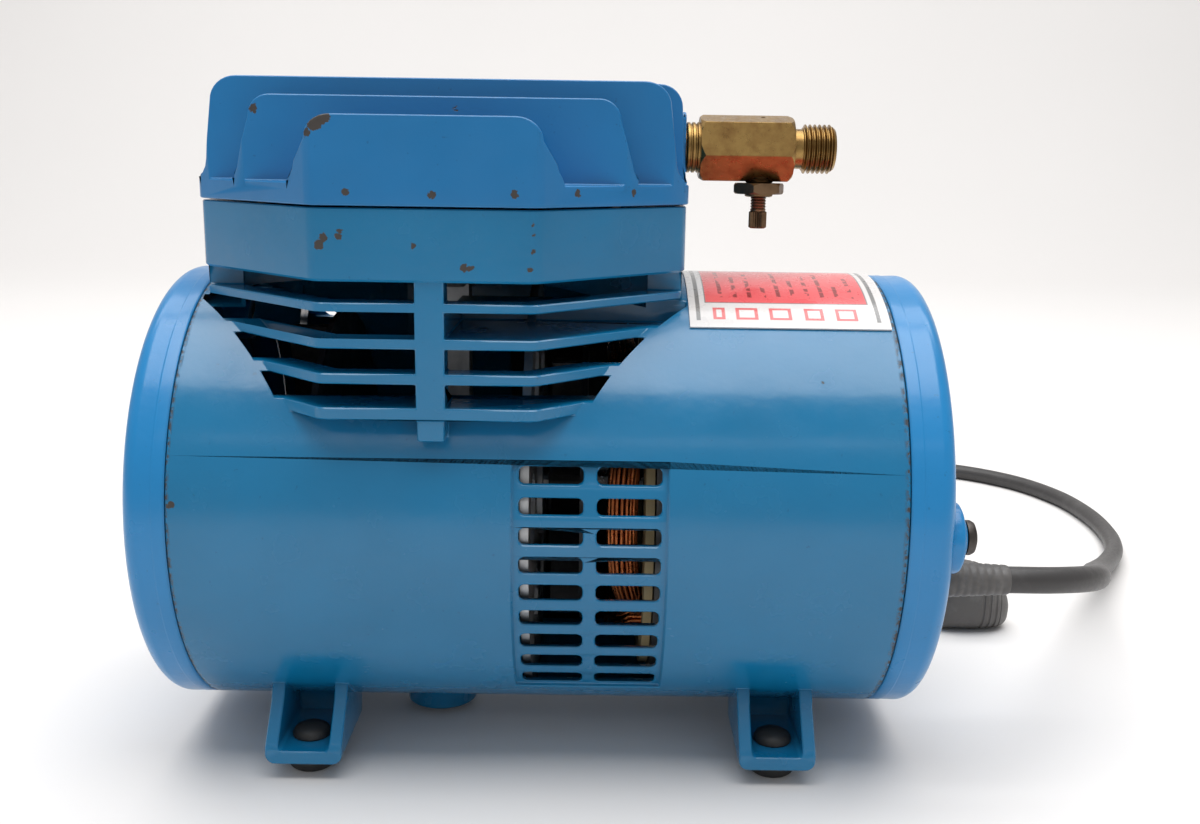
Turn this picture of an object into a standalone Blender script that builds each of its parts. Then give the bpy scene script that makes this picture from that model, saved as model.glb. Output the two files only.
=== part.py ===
"""Oilless diaphragm compressor and vacuum pump, metres, +Z up, motor axis along X."""
import math

import bmesh
import bpy
from mathutils import Matrix, Vector

MM = 0.001

# Frame: everything below is in millimetres from the motor axis, under the octagon's centre.
LEFT_REACH = 76.8
RIGHT_REACH = 137.5
CRANK_X = (LEFT_REACH - RIGHT_REACH) / 2.0
AXIS_Z = 70.0

GAP = 0.3

# Motor housing
BODY_R = 61.6
BODY_WALL = 3.0
BODY_SIDES = 56
BODY_LEFT = -64.77
BODY_RIGHT = 117.79
NECK_HALF = 62.6
NECK_CAVITY = 55.0
NECK_LOW = 31.2
FLANGE_LOW = 64.6
FLANGE_TOP = 81.4
FLANGE_HALF = 63.3
BORE_R = 44.0
COUNTERBORE_R = 50.0
LEDGE_Z = 70.9
LOUVRES = ((59.3, 64.5), (50.8, 57.2), (42.4, 48.4), (34.1, 39.9))
WEB = (-2.7, 4.2)

# Vent grille
GRILLE_X = (19.9, 58.5)
GRILLE_COLUMNS = ((21.6, 37.6), (40.9, 57.0))
SLOT_ROWS = 9
SLOT_TOP = 16.8
SLOT_PITCH = 7.5
SLOT_HEIGHT = 4.4

# Feet
FOOT_SPANS = ((-46.0, -25.7), (79.6, 99.9))
FOOT_LIP = 51.0
FOOT_BACK = 22.0
PLATE_TOP = -61.4
PLATE_LOW = -65.1
RIB = 3.4
FOOT_HOLE_Y = 40.3
FOOT_HOLE_R = 4.6

# Head
HEAD_LOW = 81.85
HEAD_BASE = 86.9
HEAD_HALF = 63.5
PORT_Z = 96.7
SCREW_X, SCREW_Y = 44.0, 35.4

# Running gear
THROW = 2.5
SHAFT_R = 4.0
BOLT_CIRCLE = 50.0
BOLT_ANGLES = (180.0, 60.0, -60.0)

# Bleed valve
BLEED_X = 85.2

# Cord
CORD_R = 3.65
COIL_MID_R = 40.0
COIL_AT = (38.0, 150.0)
CORD_EXIT = (-37.0, -15.8)


def clear_scene():
    for obj in list(bpy.data.objects):
        bpy.data.objects.remove(obj, do_unlink=True)


SLOTS = {}


def slot(name, rgb, metallic=0.0, roughness=0.5):
    if name not in SLOTS:
        mat = bpy.data.materials.new(name)
        mat.use_nodes = True
        shader = mat.node_tree.nodes["Principled BSDF"]
        shader.inputs["Base Color"].default_value = (*rgb, 1.0)
        shader.inputs["Metallic"].default_value = metallic
        shader.inputs["Roughness"].default_value = roughness
        mat.diffuse_color = (*rgb, 1.0)
        SLOTS[name] = mat
    return SLOTS[name]


def housing_paint():
    return slot("housing_paint", (0.02, 0.22, 0.42), 0.0, 0.35)


def head_paint():
    return slot("head_paint", (0.01, 0.20, 0.55), 0.0, 0.4)


def brass():
    return slot("brass", (0.50, 0.34, 0.12), 1.0, 0.35)


def steel():
    return slot("steel", (0.45, 0.45, 0.46), 1.0, 0.35)


def dark_steel():
    return slot("dark_steel", (0.10, 0.09, 0.08), 1.0, 0.5)


def cast_aluminium():
    return slot("cast_aluminium", (0.55, 0.56, 0.57), 1.0, 0.5)


def black_rubber():
    return slot("black_rubber", (0.02, 0.02, 0.02), 0.0, 0.8)


def cord_jacket():
    return slot("cord_jacket", (0.035, 0.036, 0.036), 0.0, 0.6)


def fan_plastic():
    return slot("fan_plastic", (0.03, 0.03, 0.03), 0.0, 0.5)


def copper():
    return slot("copper_winding", (0.60, 0.22, 0.08), 1.0, 0.35)


def lamination():
    return slot("lamination_steel", (0.22, 0.22, 0.22), 1.0, 0.5)


def felt():
    return slot("filter_felt", (0.45, 0.42, 0.36), 0.0, 0.95)


def gasket_sheet():
    return slot("gasket_sheet", (0.16, 0.15, 0.14), 0.0, 0.9)


def label_face():
    return slot("label_face", (0.85, 0.84, 0.82), 0.0, 0.4)


def to_world(point):
    return Vector(((point[0] + CRANK_X) * MM, point[1] * MM, (point[2] + AXIS_Z) * MM))


def solid(name, verts, faces, at, material=None):
    """One mesh object with its origin at `at`; a body without a material is a hidden tool."""
    base = Vector(at)
    mesh = bpy.data.meshes.new(name)
    mesh.from_pydata([(Vector(v) - base) * MM for v in verts], [], faces)
    bm = bmesh.new()
    bm.from_mesh(mesh)
    bmesh.ops.recalc_face_normals(bm, faces=bm.faces)
    bm.to_mesh(mesh)
    bm.free()
    mesh.shade_smooth()
    mesh.set_sharp_from_angle(angle=math.radians(32.0))
    obj = bpy.data.objects.new(name, mesh)
    obj.location = to_world(at)
    bpy.context.scene.collection.objects.link(obj)
    if material is None:
        obj.hide_render = True
        obj.display_type = 'WIRE'
    else:
        mesh.materials.append(material)
    return obj


def spin_point(axis, along, a, b):
    """Point from a distance along `axis` and the two coordinates across it."""
    if axis == 'X':
        return (along, a, b)
    if axis == 'Y':
        return (a, along, b)
    return (a, b, along)


def prism_parts(outline, axis, low, high):
    count = len(outline)
    verts = [spin_point(axis, low, a, b) for a, b in outline]
    verts += [spin_point(axis, high, a, b) for a, b in outline]
    faces = [tuple(range(count)), tuple(range(2 * count - 1, count - 1, -1))]
    faces += [(i, (i + 1) % count, count + (i + 1) % count, count + i) for i in range(count)]
    return verts, faces


def prism(name, outline, axis, low, high, at=(0, 0, 0), material=None):
    verts, faces = prism_parts(outline, axis, low, high)
    return solid(name, verts, faces, at, material)


def prisms(name, pieces, at=(0, 0, 0), material=None):
    """Several separate prisms in one tool: each piece is (outline, axis, low, high)."""
    verts, faces = [], []
    for outline, axis, low, high in pieces:
        more, rings = prism_parts(outline, axis, low, high)
        shift = len(verts)
        verts += more
        faces += [tuple(i + shift for i in ring) for ring in rings]
    return solid(name, verts, faces, at, material)


def box_piece(x, y, z):
    return ([(y[0], z[0]), (y[1], z[0]), (y[1], z[1]), (y[0], z[1])], 'X', x[0], x[1])


def circle(radius, count, a=0.0, b=0.0, start=0.06):
    turn = [start + 2.0 * math.pi * i / count for i in range(count)]
    return [(a + radius * math.cos(t), b + radius * math.sin(t)) for t in turn]


def octagon(half, low=None, high=None):
    side = half * math.tan(math.pi / 8.0)
    ring = [(half, -side), (half, side), (side, half), (-side, half),
            (-half, side), (-half, -side), (-side, -half), (side, -half)]
    return ring


def turned(name, profile, axis, centre, material=None, count=24, ring=False, phase=0.0):
    """Body of revolution; profile holds (along, radius) and closes on itself when ring."""
    verts, rows = [], []
    if material is None:
        phase += 0.023
    for along, radius in profile:
        if radius < 1e-6:
            rows.append([len(verts)] * count)
            verts.append(spin_point(axis, along, 0.0, 0.0))
            continue
        rows.append(list(range(len(verts), len(verts) + count)))
        verts += [spin_point(axis, along, a, b) for a, b in circle(radius, count, start=phase)]
    faces = []
    last = len(rows) if ring else len(rows) - 1
    for k in range(last):
        one, two = rows[k], rows[(k + 1) % len(rows)]
        for i in range(count):
            j = (i + 1) % count
            face = []
            for v in (one[i], one[j], two[j], two[i]):
                if v not in face:
                    face.append(v)
            if len(face) > 2:
                faces.append(tuple(face))
    shift = spin_point(axis, 0.0, centre[0], centre[1])
    verts = [(v[0] + shift[0], v[1] + shift[1], v[2] + shift[2]) for v in verts]
    mid = (profile[0][0] + profile[-1][0]) / 2.0
    return solid(name, verts, faces, spin_point(axis, mid, *centre), material)


def combine(target, tool, operation):
    step = target.modifiers.new(tool.name, 'BOOLEAN')
    step.operation = operation
    step.solver = 'EXACT'
    step.object = tool
    return target


def cut(target, *tools):
    for tool in tools:
        combine(target, tool, 'DIFFERENCE')
    return target


def join(target, *tools):
    for tool in tools:
        combine(target, tool, 'UNION')
    return target


def arc_band(inner, outer, start, end, steps):
    """Outline in (Y, Z) of a band between two radii, angles in degrees from +Y."""
    turn = [math.radians(start + (end - start) * i / steps) for i in range(steps + 1)]
    far = [(outer * math.cos(t), outer * math.sin(t)) for t in turn]
    near = [(inner * math.cos(t), inner * math.sin(t)) for t in reversed(turn)]
    return far + near


def radial_box(angle, r_in, r_out, half_width, axial):
    """Box reaching out from the motor axis at `angle`, as a prism along X."""
    t = math.radians(angle)
    out, side = (math.cos(t), math.sin(t)), (-math.sin(t), math.cos(t))
    corners = [(r_in, -half_width), (r_out, -half_width), (r_out, half_width), (r_in, half_width)]
    outline = [(r * out[0] + s * side[0], r * out[1] + s * side[1]) for r, s in corners]
    return (outline, 'X', axial[0], axial[1])


def bolt_points():
    return [(BOLT_CIRCLE * math.cos(math.radians(a)), BOLT_CIRCLE * math.sin(math.radians(a)))
            for a in BOLT_ANGLES]


def louvre_plans():
    """Plans of the openings either side of the front web, and of the blind ones behind."""
    half = NECK_HALF + 1.4
    edge = half * math.tan(math.pi / 8.0)
    reach = 24.5
    left = [(WEB[0], -half), (-edge, -half), (-half, -edge), (-half, -reach), (WEB[0], -reach)]
    right = [(WEB[1], -half), (edge, -half), (half, -edge), (half, -reach), (WEB[1], -reach)]
    deep = NECK_HALF - 4.6
    step = deep * math.tan(math.pi / 8.0)
    blind = []
    for web, way in ((WEB[0], -1), (WEB[1], 1)):
        blind.append([(web, half), (way * edge, half), (way * half, edge), (way * half, reach),
                      (way * deep, reach), (way * deep, step), (way * step, deep), (web, deep)])
    return [left, right] + blind


def foot_side(side):
    """Side view of a foot: lip, sloping front, the stretch inside the tube's wall, back."""
    outline = [(FOOT_LIP, PLATE_LOW), (FOOT_LIP, PLATE_TOP), (40.3, -46.7), (38.3, -46.2),
               (30.0, -52.0), (FOOT_BACK, -56.0), (FOOT_BACK, PLATE_LOW)]
    return [(y * side, z) for y, z in outline]


def build_feet():
    """Four feet in one tool, each a U of two ribs and a back wall on its plate."""
    blocks, pockets = [], []
    for left, right in FOOT_SPANS:
        for side in (-1, 1):
            blocks.append((foot_side(side), 'X', left, right))
            reach = sorted((60.0 * side, (FOOT_BACK + 3.0) * side))
            pockets.append(box_piece((left + RIB, right - RIB), reach, (PLATE_TOP, -30.0)))
    return cut(prisms("feet", blocks), prisms("foot_pockets", pockets))


def end_bosses(axial):
    return [radial_box(a, 45.5, BODY_R - 1.5, 4.5, axial) for a in BOLT_ANGLES]


def build_housing():
    body = turned("motor_housing", [(BODY_LEFT, 0), (BODY_LEFT, BODY_R), (BODY_RIGHT, BODY_R),
                                    (BODY_RIGHT, 0)], 'X', (0, 0), housing_paint(), BODY_SIDES)
    join(body, prism("neck_block", octagon(NECK_HALF), 'Z', NECK_LOW, FLANGE_LOW + 0.5),
         prism("neck_flange", octagon(FLANGE_HALF), 'Z', FLANGE_LOW, FLANGE_TOP))
    cut(body, turned("body_bore", [(BODY_LEFT - 5, 0), (BODY_LEFT - 5, BODY_R - BODY_WALL),
                                   (BODY_RIGHT + 5, BODY_R - BODY_WALL), (BODY_RIGHT + 5, 0)],
                     'X', (0, 0), None, BODY_SIDES),
        prism("neck_cavity", octagon(NECK_CAVITY), 'Z', LOUVRES[-1][0] + 0.2, FLANGE_LOW + 0.2),
        turned("flange_bore", [(FLANGE_LOW - 2, 0), (FLANGE_LOW - 2, BORE_R),
                               (FLANGE_TOP + 2, BORE_R), (FLANGE_TOP + 2, 0)], 'Z', (0, 0), None,
               40, phase=0.031),
        turned("flange_counterbore", [(LEDGE_Z, 0), (LEDGE_Z, COUNTERBORE_R),
                                      (FLANGE_TOP + 2, COUNTERBORE_R), (FLANGE_TOP + 2, 0)],
               'Z', (0, 0), None, 40))
    runs = [(plan, 'Z', low, high) for plan in louvre_plans() for low, high in LOUVRES]
    cut(body, prisms("louvre_openings", runs))
    join(body, prisms("web_feet", [web_foot(-1), web_foot(1)]))
    build_grille(body)
    join(body, build_feet(), turned("underside_boss", [(-68.3, 0), (-68.3, 10.3), (-60.0, 10.3), (-60.0, 0)],
                      'Z', (-5.3, 0), None, 24))
    join(body, prisms("left_bosses", end_bosses((BODY_LEFT + 0.3, -50.0))),
         prisms("right_bosses", end_bosses((105.0, BODY_RIGHT - 0.3))))
    drill_housing(body)
    return body


def web_foot(side):
    """The web's lower end, running down from the lowest louvre onto the tube."""
    return box_piece((WEB[0] + 0.2, WEB[1] - 0.2),
                     sorted((side * (NECK_HALF - 0.2), side * 54.4)), (26.0, 32.4))


def build_grille(body):
    high = math.degrees(math.asin(20.5 / BODY_R))
    low = math.degrees(math.asin(47.0 / BODY_R))
    front = arc_band(BODY_R - 1.2, BODY_R + 2.0, 180.0 - high, 180.0 + low, 10)
    back = arc_band(BODY_R - 1.2, BODY_R + 2.0, -low, high, 10)
    cut(body, prisms("grille_recess", [(front, 'X', *GRILLE_X), (back, 'X', *GRILLE_X)]))
    slots = []
    for row in range(SLOT_ROWS):
        mid = SLOT_TOP - SLOT_PITCH * row
        tall = (mid - SLOT_HEIGHT / 2, mid + SLOT_HEIGHT / 2)
        for column in GRILLE_COLUMNS:
            slots.append(box_piece(column, (-66.0, -34.0), tall))
            slots.append(box_piece(column, (34.0, 66.0), tall))
    cut(body, prisms("grille_slots", slots))


def drill_housing(body):
    holes = []
    for span in FOOT_SPANS:
        mid = (span[0] + span[1]) / 2
        holes += [(circle(FOOT_HOLE_R, 16, mid, y), 'Z', -70.0, -60.0)
                  for y in (-FOOT_HOLE_Y, FOOT_HOLE_Y)]
    holes += [(circle(2.3, 10, x, y), 'Z', 65.6, 84.0)
              for x in (-SCREW_X, SCREW_X) for y in (-SCREW_Y, SCREW_Y)]
    for y, z in bolt_points():
        holes += [(circle(2.1, 8, y, z), 'X', -70.0, -52.0),
                  (circle(2.1, 8, y, z), 'X', 106.5, 122.0)]
    cut(body, prisms("housing_holes", holes))


def rounded_corner(x, z, r, start, steps=4):
    turn = [math.radians(start + 90.0 * i / steps) for i in range(steps + 1)]
    return [(x + r * math.cos(t), z + r * math.sin(t)) for t in turn]


def fin_outline(foot, shoulder, shoulder_z, crest, crest_z):
    """Front view of a fin: flared foot, straight flank, rounded shoulder, flat crest."""
    half = [(foot + 5.0, HEAD_BASE - 2.0), (foot + 5.0, HEAD_BASE + 0.2),
            (foot + 1.6, HEAD_BASE + 1.4), (foot, HEAD_BASE + 4.5), (shoulder, shoulder_z)]
    for k in range(1, 5):
        t = math.pi / 2 * k / 4
        half.append((crest + (shoulder - crest) * math.cos(t),
                     shoulder_z + (crest_z - shoulder_z) * math.sin(t)))
    return half + [(-x, z) for x, z in reversed(half)]


def fin(name, outline, base, crest, crest_z, side):
    """Drafted fin: Y limits run from `base` at its root to `crest` at its top."""
    verts = []
    for pick in (0, 1):
        for x, z in outline:
            k = (z - HEAD_BASE) / (crest_z - HEAD_BASE)
            verts.append((x, side * (base[pick] + (crest[pick] - base[pick]) * k), z))
    count = len(outline)
    faces = [tuple(range(count)), tuple(range(2 * count - 1, count - 1, -1))]
    faces += [(i, (i + 1) % count, count + (i + 1) % count, count + i) for i in range(count)]
    return solid(name, verts, faces, (0, 0, 0))


def build_head():
    head = prism("cylinder_head", octagon(HEAD_HALF + 0.3), 'Z', HEAD_LOW, HEAD_BASE,
                 (0, 0, 0), head_paint())
    fins = ((fin_outline(31.5, 27.5, 97.0, 21.2, 102.5), (57.7, 63.8), (61.6, 63.3), 102.5),
            (fin_outline(50.0, 45.5, 103.0, 40.3, 107.6), (39.9, 43.6), (40.9, 42.6), 107.6),
            (fin_outline(60.6, 58.5, 107.0, 51.7, 112.6), (27.5, 31.0), (28.4, 30.1), 112.6),
            (fin_outline(63.4, 62.6, 107.4, 56.3, 113.1), (8.2, 11.6), (9.0, 10.8), 113.1))
    for k, (outline, base, crest, top) in enumerate(fins):
        for side in (-1, 1):
            join(head, fin("fin_%d_%d" % (k, side + 1), outline, base, crest, top, side))
    ridge = prism("ridge", [(-9.4, 85.0), (9.4, 85.0), (9.4, 104.0), (7.4, 106.0),
                            (-7.4, 106.0), (-9.4, 104.0)], 'X', -63.8, 63.8)
    join(head, ridge)
    trim = prism("head_trim", octagon(HEAD_HALF + 0.31), 'Z', HEAD_LOW - 5, 120.0)
    combine(head, trim, 'INTERSECT')
    chambers = [box_piece((-54.0, -4.0), (-5.8, 5.8), (HEAD_LOW - 1, 102.0)),
                box_piece((4.0, 54.0), (-5.8, 5.8), (HEAD_LOW - 1, 102.0))]
    pockets = [box_piece((-31.0, -3.0), (-13.0, 13.0), (HEAD_LOW - 2, 85.3)),
               box_piece((3.0, 31.0), (-13.0, 13.0), (HEAD_LOW - 2, 85.3))]
    cut(head, prisms("head_chambers", chambers), prisms("reed_pockets", pockets))
    bores = [(circle(5.5, 16, 0, PORT_Z), 'X', 50.0, 70.0),
             (circle(3.5, 12, 0, PORT_Z), 'X', -58.5, -50.0),
             (circle(7.3, 24, 0, PORT_Z), 'X', -58.0, -70.0)]
    cut(head, prisms("head_bores", [bores[0]]), prisms("intake_way", [bores[1]]),
        prisms("intake_recess", [bores[2]]))
    holes = [(circle(2.3, 10, x, y), 'Z', HEAD_LOW - 1, HEAD_BASE + 1)
             for x in (-SCREW_X, SCREW_X) for y in (-SCREW_Y, SCREW_Y)]
    cut(head, prisms("head_screw_holes", holes))
    return head


def reed(name, x, z, hinge_y, reach):
    """Spring strip with a screw hole near its clamped end and its origin on that end."""
    far = hinge_y + reach
    outline = [(x - 4, hinge_y), (x + 4, hinge_y)]
    tip = 1 if reach > 0 else -1
    outline += [(x + 4 * math.cos(t), far - 4 * tip + 4 * tip * math.sin(t))
                for t in (0.0, 0.52, 1.05, 1.57, 2.09, 2.62, 3.14)]
    strip = prism(name, outline, 'Z', z, z + 0.4, (x, hinge_y, z + 0.2), steel())
    hole = prism(name + "_hole", circle(2.1, 12, x, hinge_y + 3.2 * tip), 'Z', z - 1, z + 1.5)
    return cut(strip, hole)


def build_valves():
    plate = build_valve_plate()
    reed("intake_reed", -16.0, 76.9, -10.0, 20.0)
    reed("exhaust_reed", 16.0, 80.5, -10.0, 20.0)
    turned("intake_reed_screw", [(75.2, 0), (75.2, 2.9), (76.3, 2.9), (76.3, 1.5),
                                 (79.6, 1.5), (79.6, 0)], 'Z', (-16.0, -6.8), steel(), 10)
    turned("exhaust_reed_screw", [(78.0, 0), (78.0, 1.5), (81.7, 1.5), (81.7, 2.9),
                                  (83.6, 2.9), (83.6, 0)], 'Z', (16.0, -6.8), steel(), 10)
    return plate


def build_valve_plate():
    profile = [(77.6, 0), (77.6, 42.0), (72.7, 42.0), (72.7, COUNTERBORE_R - GAP),
               (80.2, COUNTERBORE_R - GAP), (80.2, 0)]
    plate = turned("valve_plate", profile, 'Z', (0, 0), cast_aluminium(), 36)
    holes = [(circle(2.6, 10, x, 4.5), 'Z', 76.0, 82.0) for x in (-16.0, 16.0)]
    holes += [(circle(1.9, 8, x, -6.8), 'Z', 76.0, 82.0) for x in (-16.0, 16.0)]
    cut(plate, prisms("valve_holes", holes))
    gasket = turned("head_gasket", [(80.5, 0), (80.5, 49.5), (81.5, 49.5), (81.5, 0)], 'Z',
                    (0, 0), gasket_sheet(), 36)
    windows = [box_piece((-30.0, -4.0), (-12.0, 12.0), (79.0, 83.0)),
               box_piece((4.0, 30.0), (-12.0, 12.0), (79.0, 83.0))]
    cut(gasket, prisms("gasket_windows", windows))
    return plate


def build_diaphragm():
    rubber = black_rubber()
    turned("diaphragm", [(71.2, 3.4), (71.2, 49.4), (72.4, 49.4), (72.4, 3.4)], 'Z', (0, 0),
           rubber, 36, ring=True)
    turned("diaphragm_lower_plate", [(69.2, 3.4), (69.2, 26.5), (70.2, 27.5), (70.9, 27.5),
                                     (70.9, 3.4)], 'Z', (0, 0), cast_aluminium(), 28, ring=True)
    turned("diaphragm_upper_plate", [(72.7, 3.4), (72.7, 27.5), (73.4, 27.5), (74.4, 26.5),
                                     (74.4, 6.2), (72.9, 3.4)], 'Z', (0, 0), cast_aluminium(), 28,
           ring=True)
    turned("diaphragm_screw", [(58.5, 0), (58.5, 2.9), (72.9, 2.9), (74.2, 5.5), (74.3, 5.5),
                               (74.3, 0)], 'Z', (0, 0), steel(), 14)


def build_rod():
    """Connecting rod at top dead centre: the big end sits one throw above the shaft."""
    rod = turned("connecting_rod", [(-5.0, 0), (-5.0, 16.8), (5.0, 16.8), (5.0, 0)], 'X',
                 (0, THROW), cast_aluminium(), 28)
    arm = prism("rod_arm", [(-6.5, 15.0), (6.5, 15.0), (4.2, 40.0), (4.6, 68.0), (-4.6, 68.0),
                            (-4.2, 40.0)], 'X', -4.0, 4.0)
    seat = turned("rod_seat", [(57.3, 0), (57.3, 5.2), (66.4, 10.5), (68.9, 10.5), (68.9, 0)],
                  'Z', (0, 0), None, 20, phase=0.05)
    join(rod, arm, seat)
    cut(rod, turned("rod_eye", [(-8, 0), (-8, 13.3), (8, 13.3), (8, 0)], 'X', (0, THROW), None,
                    26, phase=0.03),
        turned("rod_thread", [(56.0, 0), (56.0, 3.3), (71.0, 3.3), (71.0, 0)], 'Z', (0, 0),
               None, 14))
    move_origin(rod, (0, 0, THROW))
    return rod


def move_origin(obj, at):
    """Put the origin of a finished body on a joint axis without moving its surface."""
    shift = to_world(at) - obj.location
    obj.data.transform(Matrix.Translation(-shift))
    obj.location = to_world(at)


def bearing(name, low, high, inner, outer, centre):
    return turned(name, [(low, inner), (low, outer), (high, outer), (high, inner)], 'X',
                  centre, steel(), 24, ring=True)


def build_running_gear():
    bearing("rod_bearing", -4.5, 4.5, 9.8, 13.0, (0, THROW))
    crank = turned("crank_eccentric", [(-5.0, 0), (-5.0, 9.5), (5.5, 9.5), (5.5, 0)], 'X',
                   (0, THROW), steel(), 28)
    join(crank, turned("crank_hub", [(5.0, 0), (5.0, 9.0), (15.0, 9.0), (15.0, 0)], 'X', (0, 0),
                       None, 24))
    cut(crank, turned("crank_bore", [(-9, 0), (-9, SHAFT_R + GAP), (20, SHAFT_R + GAP), (20, 0)],
                      'X', (0, 0), None, 16),
        turned("set_screw_hole", [(2.0, 0), (2.0, 1.9), (12.0, 1.9), (12.0, 0)], 'Z',
               (10.5, 0), None, 16))
    move_origin(crank, (0, 0, 0))
    turned("eccentric_set_screw", [(4.4, 0), (4.4, 1.5), (8.4, 1.5), (8.4, 0)], 'Z', (10.5, 0),
           dark_steel(), 12)
    turned("rotor_shaft", [(-50.0, 0), (-50.0, 3.4), (-49.4, SHAFT_R), (125.4, SHAFT_R),
                           (126.0, 3.4), (126.0, 0)], 'X', (0, 0), steel(), 20)
    bearing("main_bearing_left", 18.0, 25.0, SHAFT_R + GAP, 11.0, (0, 0))
    bearing("main_bearing_right", 119.0, 126.0, SHAFT_R + GAP, 11.0, (0, 0))


def build_bracket():
    ring = turned("centre_bearing_bracket",
                  [(17.5, 11.3), (17.5, 15.5), (21.8, 15.5), (21.8, 58.3), (24.0, 58.3),
                   (24.0, 15.5), (25.5, 15.5), (25.5, 11.3)], 'X', (0, 0), cast_aluminium(), 36,
                  ring=True)
    windows = [(circle(12.0, 10, 37.0 * math.cos(t), 37.0 * math.sin(t)), 'X', 20.0, 26.0)
               for t in [math.pi / 3 * k for k in range(6)]]
    cut(ring, prisms("bracket_windows", windows))
    return ring


def fan(name, low, high, plate, radius, blades):
    """Radial fan: hub, back plate and straight blades on the shaft."""
    hub = [(low, 0), (low, 9.0), (high - plate, 9.0), (high - plate, radius), (high, radius),
           (high, 0)]
    wheel = turned(name, hub, 'X', (0, 0), fan_plastic(), 24)
    vanes = [radial_box(360.0 * k / blades + 15.0, 8.0, radius - 1.5, 0.8,
                        (low + 1.0, high - plate + 0.4)) for k in range(blades)]
    join(wheel, prisms(name + "_vanes", vanes))
    cut(wheel, turned(name + "_bore", [(low - 3, 0), (low - 3, SHAFT_R + GAP),
                                       (high + 3, SHAFT_R + GAP), (high + 3, 0)], 'X', (0, 0),
                      None, 16))
    move_origin(wheel, (0, 0, 0))
    return wheel


def build_motor():
    core = turned("stator_core", [(56.0, 31.2), (56.0, 54.0), (96.0, 54.0), (96.0, 31.2)], 'X',
                  (0, 0), lamination(), 48, ring=True)
    slots = []
    for quarter in range(4):
        mid = 45.0 + 90.0 * quarter
        slots.append((arc_band(33.5, 46.5, mid - 17.0, mid + 17.0, 4), 'X', 50.0, 102.0))
    cut(core, prisms("coil_slots", slots))
    mouths = [radial_box(45.0 + 90.0 * k, 29.0, 36.0, 3.0, (50.0, 102.0)) for k in range(4)]
    cut(core, prisms("slot_mouths", mouths))
    turned("rotor_core", [(56.5, SHAFT_R + GAP), (56.5, 30.4), (95.5, 30.4),
                          (95.5, SHAFT_R + GAP)], 'X', (0, 0), lamination(), 32, ring=True)
    for k in range(4):
        field_coil("field_coil_%d" % (k + 1), 90.0 * k)


def field_coil(name, angle):
    """Loop of wire round one pole: two straight sides in the slots, two bowed ends."""
    path = []
    span, radius, low, high = 38.0, 40.0, 47.5, 104.5
    bow = 4.0
    for k in range(7):
        f = -1.0 + k / 3.0
        path.append((low + bow * abs(f) ** 3, angle + span * f))
    for k in range(7):
        f = 1.0 - k / 3.0
        path.append((high - bow * abs(f) ** 3, angle + span * f))
    points = [Vector((x, radius * math.cos(math.radians(a)), radius * math.sin(math.radians(a))))
              for x, a in path]
    return closed_tube(name, points, 4.2, 8, copper())


def closed_tube(name, points, radius, count, material):
    verts, faces = [], []
    total = len(points)
    for i, p in enumerate(points):
        ahead = (points[(i + 1) % total] - points[i - 1]).normalized()
        out = Vector((0, p.y, p.z)).normalized()
        out = (out - ahead * out.dot(ahead)).normalized()
        side = ahead.cross(out)
        for a, b in circle(radius, count):
            verts.append(tuple(p + out * a + side * b))
    for i in range(total):
        for j in range(count):
            a, b = i * count + j, i * count + (j + 1) % count
            c, d = ((i + 1) % total) * count + (j + 1) % count, ((i + 1) % total) * count + j
            faces.append((a, b, c, d))
    mid = sum(points, Vector()) / total
    return solid(name, verts, faces, tuple(mid), material)


def cap_profile(face, rim, sign, floor, crown):
    """Outer skirt, rounded edge, crowned face and hollow inside of an end cap."""
    r = 3.8
    edge = [(face - sign * (r - r * math.sin(t)), BODY_R - r + r * math.cos(t))
            for t in [math.pi / 2 * k / 3 for k in range(4)]]
    return ([(rim, BODY_R - BODY_WALL), (rim, BODY_R)] + edge +
            [(face + sign * crown, 0.0)])


def build_left_cap():
    rim, face = BODY_LEFT - GAP, -76.4
    profile = [(-73.4, 0), (-73.4, BODY_R - BODY_WALL)] + cap_profile(face, rim, -1, 0, 0.4)
    cap = turned("left_end_cap", profile, 'X', (0, 0), head_paint(), BODY_SIDES)
    pads = [(circle(6.0, 14, y, z), 'X', -74.5, rim - 0.4) for y, z in bolt_points()]
    join(cap, prisms("left_pads", pads))
    for k, (y, z) in enumerate(bolt_points()):
        cut(cap, turned("left_sink_%d" % k, [(-60.0, 0), (-60.0, 2.2), (-74.0, 2.2),
                                             (-76.2, 4.3), (-80.0, 4.3), (-80.0, 0)], 'X',
                        (y, z), None, 16))
        turned("left_cap_screw_%d" % (k + 1), [(-76.3, 0), (-76.3, 3.9), (-76.0, 3.9),
                                               (-73.9, 1.8), (-54.0, 1.8), (-54.0, 0)], 'X',
               (y, z), steel(), 9)
    return cap


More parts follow.
